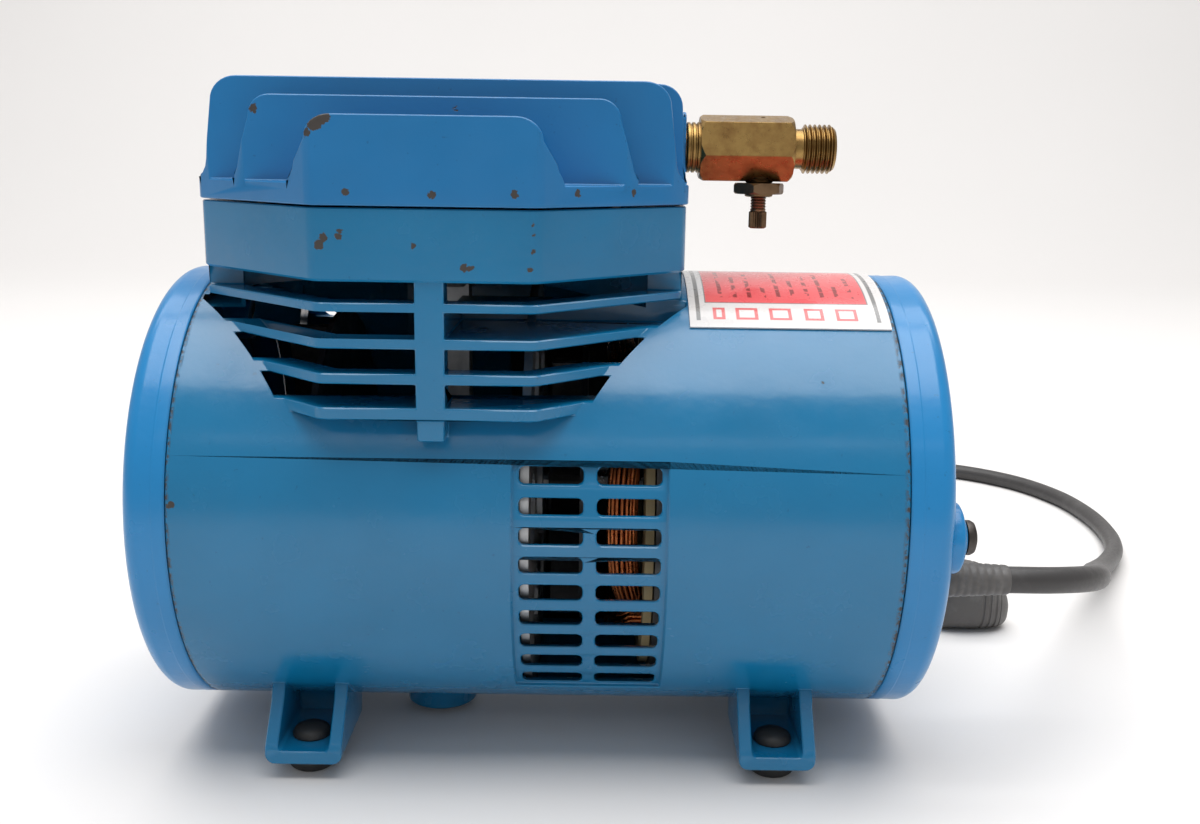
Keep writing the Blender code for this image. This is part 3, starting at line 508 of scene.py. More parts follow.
def smooth_route(points, spacing):
    """Evenly spaced points on a smooth curve through the given ones."""
    pts = [Vector(p) for p in points]
    pts = [pts[0] * 2 - pts[1]] + pts + [pts[-1] * 2 - pts[-2]]
    fine = []
    for i in range(1, len(pts) - 2):
        a, b, c, d = pts[i - 1:i + 3]
        for k in range(24):
            t = k / 24.0
            fine.append(0.5 * (2 * b + (c - a) * t + (2 * a - 5 * b + 4 * c - d) * t * t +
                               (3 * b - a - 3 * c + d) * t ** 3))
    fine.append(pts[-2])
    total = sum((q - p).length for p, q in zip(fine, fine[1:]))
    count = max(2, round(total / spacing))
    out, walked, goal = [fine[0]], 0.0, total / count
    for p, q in zip(fine, fine[1:]):
        step = (q - p).length
        while walked + step >= goal - 1e-9 and len(out) < count:
            out.append(p.lerp(q, (goal - walked) / step))
            goal += total / count
        walked += step
    return out + [fine[-1]]


# ---------------------------------------------------------------- materials

CHIPS = (((-24.4, -63.4, 72.8), 1.1), ((-23.4, -63.4, 74.6), 0.9), ((-19.9, -63.4, 74.7), 0.7),
         ((-19.4, -63.4, 76.0), 0.5), ((-2.6, -63.4, 72.9), 0.6), ((9.3, -63.4, 68.0), 0.9),
         ((10.6, -63.4, 67.8), 0.7), ((25.4, -63.4, 78.1), 0.5), ((25.5, -63.4, 75.6), 0.4),
         ((25.5, -63.4, 71.9), 0.5), ((24.5, -63.4, 67.7), 0.6), ((-63.4, -61.0, 8.9), 0.9),
         ((-41.7, -48.1, 38.4), 0.7), ((97.0, -47.0, 39.0), 0.5), ((12.0, 63.4, 73.0), 0.9),
         ((-30.0, 63.4, 77.0), 0.6), ((60.0, 52.0, -33.0), 0.8))
HEAD_CHIPS = (((-24.6, -63.0, 100.2), 1.6), ((-22.4, -63.0, 101.6), 1.4),
              ((-26.4, -62.9, 98.2), 1.0), ((5.0, -42.0, 104.5), 0.8), ((-44.0, -42.5, 104.0), 1.0),
              ((-18.0, -63.8, 85.0), 0.9), ((2.0, -63.8, 84.6), 0.8), ((21.0, -63.8, 84.9), 0.8),
              ((35.0, -54.6, 84.9), 1.0), ((49.0, -41.0, 85.2), 0.8), ((20.0, 63.0, 99.0), 1.2))

HOUSING_BLUE = (0.004, 0.158, 0.335)
HEAD_BLUE = (0.003, 0.160, 0.400)
CAP_BLUE = (0.005, 0.205, 0.490)

# The third colour of each enamel is the tint of its painted corner shade.
housing_paint = paint("housing_enamel", HOUSING_BLUE, (0.05, 0.07, 0.08), CHIPS,
                      ((BODY_LEFT, 1.1), (BODY_RIGHT, 1.5)))
head_paint = paint("head_enamel", HEAD_BLUE, (0.06, 0.07, 0.08), HEAD_CHIPS,
                   rough=(0.28, 0.42))
cap_paint = paint("cap_enamel", CAP_BLUE, (0.05, 0.07, 0.09), rough=(0.26, 0.38))
brass = metal("aged_brass", (0.34, 0.215, 0.075), (0.14, 0.06, 0.022), (0.24, 0.42))
brass_dark = metal("dark_brass", (0.30, 0.20, 0.10), (0.09, 0.05, 0.028), (0.3, 0.5))
bronze = metal("bronze_screw", (0.22, 0.14, 0.08), (0.07, 0.04, 0.025), (0.35, 0.55))
steel = metal("machined_steel", (0.52, 0.52, 0.52), (0.25, 0.24, 0.23), (0.22, 0.42))
black_steel = metal("blackened_steel", (0.10, 0.09, 0.085), (0.04, 0.035, 0.03), (0.35, 0.55))
alloy = metal("cast_alloy", (0.50, 0.51, 0.52), (0.30, 0.30, 0.30), (0.42, 0.6), stain=0.35)
core_steel = metal("core_laminations", (0.20, 0.20, 0.20), (0.07, 0.055, 0.045), (0.4, 0.6),
                   streak=(9.0, 1.0, 1.0))
copper = metal("enamelled_copper", (0.62, 0.20, 0.07), (0.30, 0.08, 0.03), (0.22, 0.4),
               stain=0.4)
foot_rubber = rubber("foot_rubber", (0.018, 0.018, 0.018))
cord_skin = rubber("cord_jacket_vinyl", (0.042, 0.040, 0.040), (0.38, 0.5), 0.10, 900.0)
plug_skin = rubber("plug_vinyl", (0.085, 0.080, 0.077), (0.40, 0.55), 0.25, 700.0)
fan_plastic = rubber("fan_plastic", (0.020, 0.020, 0.022), (0.35, 0.5), 0.25, 400.0)
diaphragm_rubber = rubber("diaphragm_rubber", (0.022, 0.022, 0.021))
gasket_fibre = rubber("gasket_fibre", (0.15, 0.135, 0.12), (0.75, 0.9), 0.2, 350.0)
filter_felt = rubber("filter_felt", (0.42, 0.38, 0.31), (0.9, 1.0), 0.3, 1500.0)
slot_paper = rubber("slot_paper", (0.42, 0.33, 0.17), (0.5, 0.7), 0.2, 300.0)


# ---------------------------------------------------------------- housing

NECK_HALF, FLANGE_HALF = 62.6, 63.3
NECK_LOW, FLANGE_LOW, FLANGE_TOP, LEDGE_Z = 31.2, 64.6, 81.4, 70.9
LOUVRES = ((59.3, 64.5), (50.8, 57.2), (42.4, 48.4), (34.1, 39.9))
WEB = (-2.7, 4.2)
GRILLE_X = (19.9, 58.5)
GRILLE_COLUMNS = ((21.6, 37.6), (40.9, 57.0))
PLATE_TOP, PLATE_LOW = -61.4, -65.1
FOOT_LIP, FOOT_BACK, RIB, FOOT_HOLE_Y, FOOT_HOLE_R = 51.0, 22.0, 3.4, 40.3, 4.6
SCREW_X, SCREW_Y = 44.0, 35.4
BOLTS = [(50.0 * math.cos(math.radians(a)), 50.0 * math.sin(math.radians(a)))
         for a in (180.0, 60.0, -60.0)]
SIDES = 160


def louvre_plans():
    half = NECK_HALF + 1.4
    edge = half * math.tan(math.pi / 8.0)
    reach = 24.5
    left = [(WEB[0], -half), (-edge, -half), (-half, -edge), (-half, -reach), (WEB[0], -reach)]
    right = [(WEB[1], -half), (edge, -half), (half, -edge), (half, -reach), (WEB[1], -reach)]
    deep = NECK_HALF - 4.6
    step = deep * math.tan(math.pi / 8.0)
    blind = []
    for web, way in ((WEB[0], -1), (WEB[1], 1)):
        blind.append([(web, half), (way * edge, half), (way * half, edge), (way * half, reach),
                      (way * deep, reach), (way * deep, step), (way * step, deep), (web, deep)])
    return [left, right] + blind


def arc_band(inner, outer, start, end, steps):
    turn = [math.radians(start + (end - start) * i / steps) for i in range(steps + 1)]
    far = [(outer * math.cos(t), outer * math.sin(t)) for t in turn]
    near = [(inner * math.cos(t), inner * math.sin(t)) for t in reversed(turn)]
    return far + near


def radial_box(angle, r_in, r_out, half_width, axial):
    t = math.radians(angle)
    out, side = (math.cos(t), math.sin(t)), (-math.sin(t), math.cos(t))
    corners = [(r_in, -half_width), (r_out, -half_width), (r_out, half_width), (r_in, half_width)]
    outline = [(r * out[0] + s * side[0], r * out[1] + s * side[1]) for r, s in corners]
    return (outline, 'X', axial[0], axial[1])


def foot_side(side):
    outline = [(FOOT_LIP, PLATE_LOW), (FOOT_LIP, PLATE_TOP + 0.6), (FOOT_LIP - 1.0, PLATE_TOP + 2.2),
               (42.6, -50.6), (40.6, -46.6), (38.3, -46.2), (30.0, -52.0), (FOOT_BACK, -56.0),
               (FOOT_BACK, PLATE_LOW)]
    return [(y * side, z) for y, z in outline]


def foot_front(left, right):
    """Front view of a foot: straight sides and rounded corners."""
    return rounded([(left, PLATE_LOW), (right, PLATE_LOW), (right, -40.0), (left, -40.0)],
                   2.6, 5)


def build_feet():
    blocks, pockets, fronts = [], [], []
    for left, right in FOOT_SPANS:
        for side in (-1, 1):
            blocks.append((foot_side(side), 'X', left, right))
            reach = sorted((60.0 * side, (FOOT_BACK + 3.0) * side))
            pocket = rounded([(left + RIB, PLATE_TOP), (right - RIB, PLATE_TOP),
                              (right - RIB, -30.0), (left + RIB, -30.0)], 1.2, 3)
            pockets.append((pocket, 'Y', *reach))
            fronts.append((foot_front(left, right), 'Y', *sorted((60.0 * side, 15.0 * side))))
    feet = prisms("feet", blocks)
    combine(feet, prisms("foot_fronts", fronts), 'INTERSECT')
    return cut(feet, prisms("foot_pockets", pockets))


def build_housing():
    body = turned("housing", [(BODY_LEFT, 0), (BODY_LEFT, BODY_R), (BODY_RIGHT, BODY_R),
                              (BODY_RIGHT, 0)], 'X', (0, 0), None, SIDES)
    move_origin(body, (0, 0, 0))
    join(body, prisms("neck_block", [(rounded(octagon(NECK_HALF), 4.5, 5), 'Z', NECK_LOW,
                                      FLANGE_LOW + 0.5)]),
         prisms("neck_flange", [(rounded(octagon(FLANGE_HALF), 6.0, 6), 'Z', FLANGE_LOW,
                                 FLANGE_TOP)]))
    cut(body, turned("body_bore", [(BODY_LEFT - 5, 0), (BODY_LEFT - 5, BODY_R - 3.0),
                                   (BODY_RIGHT + 5, BODY_R - 3.0), (BODY_RIGHT + 5, 0)],
                     'X', (0, 0), None, SIDES),
        prisms("neck_cavity", [(octagon(55.0), 'Z', 34.3, FLANGE_LOW + 0.2)]),
        turned("flange_bore", [(FLANGE_LOW - 2, 0), (FLANGE_LOW - 2, 44.0),
                               (FLANGE_TOP + 2, 44.0), (FLANGE_TOP + 2, 0)], 'Z', (0, 0), None,
               64, phase=0.03),
        turned("flange_counterbore", [(LEDGE_Z, 0), (LEDGE_Z, 50.0), (FLANGE_TOP + 2, 50.0),
                                      (FLANGE_TOP + 2, 0)], 'Z', (0, 0), None, 64))
    cut(body, prisms("louvre_openings", [(plan, 'Z', low, high) for plan in louvre_plans()
                                         for low, high in LOUVRES]))
    join(body, prisms("web_feet", [
        box_piece((WEB[0] + 0.2, WEB[1] - 0.2), sorted((s * 62.4, s * 54.4)), (26.0, 32.4))
        for s in (-1, 1)]))
    high, low = math.degrees(math.asin(20.5 / BODY_R)), math.degrees(math.asin(47.0 / BODY_R))
    cut(body, prisms("grille_recess", [
        (arc_band(BODY_R - 1.2, BODY_R + 2.0, 180.0 - high, 180.0 + low, 40), 'X', *GRILLE_X),
        (arc_band(BODY_R - 1.2, BODY_R + 2.0, -low, high, 40), 'X', *GRILLE_X)]))
    slots = []
    for row in range(9):
        mid = 16.8 - 7.5 * row
        for a, b in GRILLE_COLUMNS:
            shape = rounded([(a, mid - 2.2), (b, mid - 2.2), (b, mid + 2.2), (a, mid + 2.2)],
                            1.3, 2)
            slots += [(shape, 'Y', -66.0, -34.0), (shape, 'Y', 34.0, 66.0)]
    cut(body, prisms("grille_slots", slots))
    join(body, build_feet(), turned("underside_boss", [(-68.3, 0), (-68.3, 10.3), (-60.0, 10.3),
                                                       (-60.0, 0)], 'Z', (-5.3, 0), None, 48))
    bosses = [radial_box(a, 45.5, BODY_R - 1.5, 4.5, axial) for a in (180.0, 60.0, -60.0)
              for axial in ((BODY_LEFT + 0.3, -50.0), (105.0, BODY_RIGHT - 0.3))]
    join(body, prisms("screw_bosses", bosses))
    holes = [(circle(FOOT_HOLE_R, 32, (a + b) / 2, y), 'Z', -70.0, -60.0)
             for a, b in FOOT_SPANS for y in (-FOOT_HOLE_Y, FOOT_HOLE_Y)]
    holes += [(circle(2.3, 16, x, y), 'Z', 65.6, 84.0) for x in (-SCREW_X, SCREW_X)
              for y in (-SCREW_Y, SCREW_Y)]
    for y, z in BOLTS:
        holes += [(circle(2.1, 12, y, z), 'X', -70.0, -52.0),
                  (circle(2.1, 12, y, z), 'X', 106.5, 122.0)]
    cut(body, prisms("housing_holes", holes))
    body.data.materials.append(housing_paint)
    bake_shape(body, 0.3, 1, angle=34.0)
    round_normals(body)
    return stand_in(body, "motor_housing", "housing")


def move_origin(obj, at):
    shift = to_world(at) - obj.location
    obj.data.transform(Matrix.Translation(-shift))
    obj.location = to_world(at)
    return obj


# ---------------------------------------------------------------- head

HEAD_LOW, HEAD_BASE, HEAD_HALF = 81.85, 86.9, 63.5


def fin_outline(foot, shoulder, shoulder_z, crest, crest_z):
    half = [(foot + 7.0, HEAD_BASE - 2.0), (foot + 7.0, HEAD_BASE + 0.1),
            (foot + 3.6, HEAD_BASE + 0.5), (foot + 1.6, HEAD_BASE + 1.5),
            (foot + 0.5, HEAD_BASE + 3.1), (foot, HEAD_BASE + 5.0)]
    low = Vector((foot, HEAD_BASE + 5.0))
    high = Vector((shoulder, shoulder_z))
    half += [tuple(low.lerp(high, f)) for f in (0.5, 1.0)]
    for k in range(1, 9):
        t = math.pi / 2 * k / 8
        half.append((crest + (shoulder - crest) * math.cos(t),
                     shoulder_z + (crest_z - shoulder_z) * math.sin(t)))
    return half + [(-x, z) for x, z in reversed(half)]


def fin(name, outline, base, crest, crest_z, side):
    verts = []
    for pick in (0, 1):
        for x, z in outline:
            k = (z - HEAD_BASE) / (crest_z - HEAD_BASE)
            verts.append((x, side * (base[pick] + (crest[pick] - base[pick]) * k), z))
    return solid(name, verts, loft_faces(len(outline)))


def build_head():
    head = prisms("head", [(rounded(octagon(HEAD_HALF + 0.3), 6.0, 6), 'Z', HEAD_LOW, HEAD_BASE)])
    fins = ((fin_outline(30.6, 27.5, 97.0, 21.2, 102.5), (57.7, 63.8), (61.6, 63.3), 102.5),
            (fin_outline(48.6, 45.5, 102.5, 40.3, 107.6), (39.9, 43.6), (40.9, 42.6), 107.6),
            (fin_outline(60.2, 58.5, 106.4, 51.7, 112.6), (27.5, 31.0), (28.4, 30.1), 112.6),
            (fin_outline(63.2, 62.6, 107.0, 56.3, 113.1), (8.2, 11.6), (9.0, 10.8), 113.1))
    for k, (outline, base, crest, top) in enumerate(fins):
        for side in (-1, 1):
            join(head, fin("fin_%d_%d" % (k, side + 1), outline, base, crest, top, side))
    ridge = rounded([(-9.4, 85.0), (9.4, 85.0), (9.4, 106.0), (-9.4, 106.0)], 2.2, 4)
    join(head, prisms("ridge", [(ridge, 'X', -63.8, 63.8)]))
    trim = prisms("head_trim", [(rounded(octagon(HEAD_HALF + 0.31), 6.0, 6), 'Z', HEAD_LOW - 5,
                                 120.0)])
    combine(head, trim, 'INTERSECT')
    cut(head, prisms("head_chambers", [
        box_piece((-54.0, -4.0), (-5.8, 5.8), (HEAD_LOW - 1, 102.0)),
        box_piece((4.0, 54.0), (-5.8, 5.8), (HEAD_LOW - 1, 102.0))]),
        prisms("reed_pockets", [box_piece((-31.0, -3.0), (-13.0, 13.0), (HEAD_LOW - 2, 85.3)),
                                box_piece((3.0, 31.0), (-13.0, 13.0), (HEAD_LOW - 2, 85.3))]),
        prisms("head_bores", [(circle(5.5, 32, 0, PORT_Z), 'X', 50.0, 70.0),
                              (circle(3.5, 24, 0, PORT_Z), 'X', -58.5, -50.0)]),
        prisms("intake_recess", [(circle(7.3, 48, 0, PORT_Z), 'X', -58.0, -70.0)]),
        prisms("head_holes", [(circle(2.3, 20, x, y), 'Z', HEAD_LOW - 1, HEAD_BASE + 1)
                              for x in (-SCREW_X, SCREW_X) for y in (-SCREW_Y, SCREW_Y)]))
    head.data.materials.append(head_paint)
    bake_shape(head, 0.4, 2, angle=34.0)
    return stand_in(head, "cylinder_head", "housing")


# ---------------------------------------------------------------- end caps

def cap_profile(face, rim, sign, crown):
    """Skirt with a low parting ridge, rounded edge, crowned face."""
    r = 4.2
    edge = [(face - sign * (r - r * math.sin(t)), BODY_R - r + r * math.cos(t))
            for t in [math.pi / 2 * k / 10 for k in range(11)]]
    skirt = [(rim, BODY_R - 3.0), (rim, BODY_R - 0.5), (rim + sign * 0.5, BODY_R - 0.05),
             (rim + sign * 2.7, BODY_R - 0.05), (rim + sign * 2.95, BODY_R),
             (rim + sign * 3.25, BODY_R), (rim + sign * 3.5, BODY_R - 0.15)]
    face_rows = [(face + sign * crown * (1 - f * f), (BODY_R - r) * f)
                 for f in (0.8, 0.6, 0.4, 0.2)] + [(face + sign * crown, 0.0)]
    return skirt + edge + face_rows


def build_caps():
    rim = BODY_LEFT - GAP
    left = turned("left_cap", [(-73.4, 0), (-73.4, BODY_R - 3.0)] +
                  cap_profile(-76.4, rim, -1, 0.4), 'X', (0, 0), None, SIDES)
    move_origin(left, (0, 0, 0))
    join(left, prisms("left_pads", [(circle(6.0, 24, y, z), 'X', -74.5, rim - 0.4)
                                    for y, z in BOLTS]))
    for k, (y, z) in enumerate(BOLTS):
        cut(left, turned("left_sink_%d" % k, [(-60.0, 0), (-60.0, 2.2), (-74.0, 2.2),
                                              (-76.2, 4.3), (-80.0, 4.3), (-80.0, 0)], 'X',
                         (y, z), None, 32, phase=0.05 * k))
    left.data.materials.append(cap_paint)
    bake_shape(left, 0.0)
    stand_in(left, "left_end_cap", "housing")
    rim = BODY_RIGHT + GAP
    right = turned("right_cap", [(126.4, 0), (126.4, 11.3), (118.6, 11.3), (118.6, 16.0),
                                 (127.0, 16.0), (127.0, BODY_R - 3.0)] +
                   cap_profile(129.9, rim, 1, 0.5), 'X', (0, 0), None, SIDES)
    move_origin(right, (0, 0, 0))
    for k, (y, z) in enumerate(BOLTS):
        join(right, turned("right_pad_%d" % k,
                           [(118.5, 0), (118.5, 6.0), (128.4, 6.0), (128.4, 9.2), (131.9, 9.2),
                            (132.6, 8.9), (133.0, 8.2), (133.0, 5.9), (134.0, 5.4),
                            (134.3, 5.0), (134.3, 0)], 'X', (y, z), None, 40, phase=0.05 * k))
    for k, (y, z) in enumerate(BOLTS):
        cut(right, turned("right_hole_%d" % k, [(110, 0), (110, 2.2), (140, 2.2), (140, 0)],
                          'X', (y, z), None, 17, phase=0.11 + 0.07 * k))
    cut(right, turned("cord_hole", [(110, 0), (110, 5.0), (140, 5.0), (140, 0)], 'X',
                      CORD_EXIT, None, 32))
    right.data.materials.append(cap_paint)
    bake_shape(right, 0.0)
    stand_in(right, "right_end_cap", "housing")


# ---------------------------------------------------------------- screws and feet

def cross_recess(at, axis, depth, reach, wide, tip):
    """Two crossed bars that cut a cross recess into a screw head, from `at` inwards."""
    bars = []
    low, high = sorted((at, at + depth))
    for a, b in ((reach, wide), (wide, reach)):
        outline = [(tip[0] - a, tip[1] - b), (tip[0] + a, tip[1] - b),
                   (tip[0] + a, tip[1] + b), (tip[0] - a, tip[1] + b)]
        bars.append((outline, axis, low, high))
    return bars


def screw(node, profile, axis, centre, recess_at, depth, material):
    made = turned(node + "_shape", profile, axis, centre, None, 40)
    for bar in cross_recess(recess_at, axis, depth, 1.75, 0.42, centre):
        cut(made, prisms(node + "_bar", [bar]))
    made.data.materials.append(material)
    bake_shape(made, 0.0, sharp=35.0)
    return stand_in(made, node, "housing")


def build_screws():
    places = [(x, y) for x in (-SCREW_X, SCREW_X) for y in (-SCREW_Y, SCREW_Y)]
    for k, place in enumerate(places, 1):
        profile = [(66.2, 0), (66.2, 1.95), (87.2, 1.95), (87.2, 3.6), (87.4, 3.8),
                   (88.9, 3.8), (89.7, 3.4), (90.1, 2.4), (90.2, 1.2), (90.2, 0)]
        screw("head_screw_%d" % k, profile, 'Z', place, 90.6, -2.0, steel)
    for k, place in enumerate(BOLTS, 1):
        profile = [(-76.3, 0), (-76.3, 3.9), (-76.0, 3.9), (-73.9, 1.8), (-54.0, 1.8),
                   (-54.0, 0)]
        screw("left_cap_screw_%d" % k, profile, 'X', place, -76.7, 1.8, steel)
        profile = [(108.0, 0), (108.0, 1.8), (134.6, 1.8), (134.6, 4.2), (134.8, 4.5),
                   (136.0, 4.5), (136.9, 4.0), (137.35, 2.9), (137.5, 1.4), (137.5, 0)]
        screw("right_cap_screw_%d" % k, profile, 'X', place, 137.9, -2.0, black_steel)
    k = 0
    for a, b in FOOT_SPANS:
        for side in (-1, 1):
            k += 1
            profile = [(-AXIS_Z, 0), (-AXIS_Z, 5.4), (-69.6, 5.9), (-67.6, 7.3), (-66.4, 7.8),
                       (PLATE_LOW - GAP, 7.7), (PLATE_LOW - GAP, 4.25),
                       (PLATE_TOP + GAP, 4.25), (PLATE_TOP + GAP, 5.1), (-60.4, 5.1),
                       (-59.4, 4.5), (-58.6, 3.1), (-58.25, 1.4), (-58.2, 0)]
            foot = turned("rubber_foot_%d_shape" % k, profile, 'Z',
                          ((a + b) / 2, side * FOOT_HOLE_Y), foot_rubber, 48)
            stand_in(foot, "rubber_foot_%d" % k, "housing")


# ---------------------------------------------------------------- brass fitting

def thread_profile(start, end, crest, root, turns):
    pitch = (end - start) / turns
    profile = []
    for k in range(turns):
        for f, h in ((0.0, 0.0), (0.12, 0.05), (0.40, 0.9), (0.46, 1.0), (0.54, 1.0),
                     (0.60, 0.9), (0.88, 0.05)):
            profile.append((start + pitch * (k + f), root + (crest - root) * h))
    return profile


def build_outlet():
    profile = [(57.0, 0), (57.0, 5.0), (64.35, 5.0), (64.35, 6.4), (64.7, 6.9), (65.3, 6.9),
               (65.5, 6.55), (65.8, 6.5), (66.1, 6.9), (66.7, 6.9), (66.9, 6.55),
               (67.2, 6.5), (67.5, 6.9), (68.6, 6.9), (68.8, 7.4), (93.2, 7.4), (93.6, 5.9),
               (93.9, 5.45), (96.5, 5.45)]
    profile += thread_profile(96.7, 104.7, 6.75, 5.85, 6) + [(104.8, 6.2), (105.5, 5.6),
                                                             (105.6, 5.4), (105.6, 0)]
    nipple = turned("outlet_nipple_shape", profile, 'X', (0, PORT_Z), None, 72)
    hexagon = rounded(circle(9.47, 6, 0, PORT_Z, math.radians(73.0)), 0.35, 2)
    bar = prisms("nipple_hexagon", [(hexagon, 'X', 68.1, 93.9)])
    combine(bar, turned("hexagon_ends", [(68.0, 0), (68.0, 8.25), (69.5, 9.6), (92.5, 9.6),
                                         (94.0, 8.25), (94.0, 0)], 'X', (0, PORT_Z), None, 96),
            'INTERSECT')
    join(nipple, bar)
    cut(nipple, turned("nipple_bore", [(50, 0), (50, 3.3), (104.9, 3.3), (105.8, 4.1),
                                       (110, 4.1), (110, 0)], 'X', (0, PORT_Z), None, 40),
        turned("bleed_recess", [(80.0, 0), (80.0, 4.2), (91.6, 4.2), (91.6, 2.4), (96.0, 2.4),
                                (96.0, 0)], 'Z', (BLEED_X, 0), None, 40),
        turned("nipple_vent", [(98.0, 0), (98.0, 0.6), (110, 0.6), (110, 0)], 'Z', (85.7, 0),
               None, 12))
    nipple.data.materials.append(brass)
    bake_shape(nipple, 0.0, sharp=30.0)
    stand_in(nipple, "outlet_nipple", "housing")


def knurled(name, low, high, radius, depth, ridges, centre, material):
    """Straight-knurled grip with chamfered ends."""
    rows = [(low, 0.8), (low + 0.35, 1.0), (high - 0.3, 1.0), (high, 0.85)]
    verts, count = [], ridges * 2
    for z, scale in rows:
        for i in range(count):
            t = math.pi * i / ridges
            r = (radius if i % 2 else radius - depth) * scale
            verts.append((centre[0] + r * math.cos(t), centre[1] + r * math.sin(t), z))
    return solid(name, verts, loft_faces(count, len(rows)), (*centre, (low + high) / 2), material)


def build_bleed():
    c = (BLEED_X, 0.0)
    body = turned("bleed_body_shape", [(83.4, 2.6), (83.4, 3.5), (83.7, 3.9)] +
                  [(83.8 + 0.35 * k, 3.9 if k % 2 else 3.6) for k in range(1, 21)] +
                  [(91.3, 3.7), (91.3, 2.6)], 'Z', c, brass_dark, 40, ring=True)
    stand_in(body, "bleed_valve_body", "housing")
    hexagon = rounded(circle(7.4, 6, *c, math.radians(12.0)), 0.3, 2)
    nut = prisms("lock_nut_shape", [(hexagon, 'Z', 84.2, 87.2)], (*c, 85.7))
    combine(nut, turned("nut_ends", [(84.1, 0), (84.1, 6.5), (84.9, 7.5), (86.5, 7.5),
                                     (87.3, 6.5), (87.3, 0)], 'Z', c, None, 64), 'INTERSECT')
    cut(nut, turned("nut_bore", [(80, 0), (80, 4.2), (90, 4.2), (90, 0)], 'Z', c, None, 32))
    nut.data.materials.append(bronze)
    bake_shape(nut, 0.0, sharp=30.0)
    stand_in(nut, "bleed_lock_nut", "lock_nut")
    shank = [(79.3, 0), (79.3, 2.0)] + [(79.5 + 0.4 * k, 2.2 if k % 2 else 1.95)
                                        for k in range(1, 21)] + [(88.0, 1.8), (88.0, 0)]
    stem = turned("bleed_screw_shape", shank, 'Z', c, bronze, 36)
    stand_in(stem, "bleed_screw", "bleed_screw")
    grip = knurled("bleed_grip_shape", 74.65, 79.45, 2.5, 0.32, 22, c, bronze)
    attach(grip, "bleed_screw")
    needle = turned("bleed_needle_shape", [(88.3, 0), (88.3, 1.9), (88.5, 2.0), (90.6, 2.0),
                                           (92.6, 0.5), (92.6, 0)], 'Z', c, steel, 32)
    stand_in(needle, "bleed_needle", "needle")


# ---------------------------------------------------------------- windings

def build_windings():
    """Each coil is a bundle of wires that loop round their pole and bow at the ends."""
    spots = [(0.0, 0.0)]
    for ring, count in ((1.22, 6), (2.42, 12), (3.6, 18)):
        spots += circle(ring, count)
    chance = random.Random(7)
    for index in range(4):
        paths = []
        for u, v in spots:
            du, dv = u + chance.uniform(-0.12, 0.12), v + chance.uniform(-0.12, 0.12)
            path = coil_path(90.0 * index, du, dv, chance.uniform(-0.4, 0.4))
            paths.append([to_world(at) for at in path])
        obj = wires("coil_%d_wires" % (index + 1), paths, 0.58, 1, copper, cyclic=True)
        stand_in(obj, "field_coil_%d" % (index + 1), "housing")


def coil_path(angle, u, v, stray):
    span, radius, low, high, bow = 38.0, 40.0, 47.5, 104.5, 4.0
    centre = []
    for k in range(13):
        f = -1.0 + k / 6.0
        centre.append((low + bow * abs(f) ** 3, angle + span * f))
    for f in (0.25, 0.5, 0.75):
        centre.append((low + bow + (high - low - 2 * bow) * f, angle + span))
    for k in range(13):
        f = 1.0 - k / 6.0
        centre.append((high - bow * abs(f) ** 3, angle + span * f))
    for f in (0.75, 0.5, 0.25):
        centre.append((low + bow + (high - low - 2 * bow) * f, angle - span))
    points = [Vector((x, radius * math.cos(math.radians(a)), radius * math.sin(math.radians(a))))
              for x, a in centre]
    out, total = [], len(points)
    for i, p in enumerate(points):
        ahead = (points[(i + 1) % total] - points[i - 1]).normalized()
        away = Vector((0, p.y, p.z)).normalized()
        away = (away - ahead * away.dot(ahead)).normalized()
        side = ahead.cross(away)
        out.append(p + away * (u + stray * math.sin(i * 0.9)) + side * v)
    return out


def build_slot_paper():
    """Insulation board at both ends of the core, notched where the coils pass."""
    for name, low, high in (("slot_paper_front", 53.4, 55.6), ("slot_paper_back", 96.4, 98.6)):
        ring = turned(name, [(low, 31.5), (low, 52.0), (high, 52.0), (high, 31.5)], 'X', (0, 0),
                      None, 72, ring=True)
        notches = [(arc_band(34.0, 46.2, 28.0 + 90.0 * k, 62.0 + 90.0 * k, 8), 'X', low - 1,
                    high + 1) for k in range(4)]
        cut(ring, prisms(name + "_notches", notches))
        ring.data.materials.append(slot_paper)
        bake_shape(ring, 0.0)
        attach(ring, "housing")


def build_shade_sheet():
    """Black sheet behind the windings: painted shade that darkens what shows through the grille
    slots.
    """
    shape = prisms("painted_shade_sheet", [(arc_band(57.2, 57.9, -58.0, 40.0, 40), 'X', 12.0, 62.0)],
                   (0, 0, 0), foot_rubber)
    smooth(shape, 30.0)
    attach(shape, "housing")


# ---------------------------------------------------------------- label

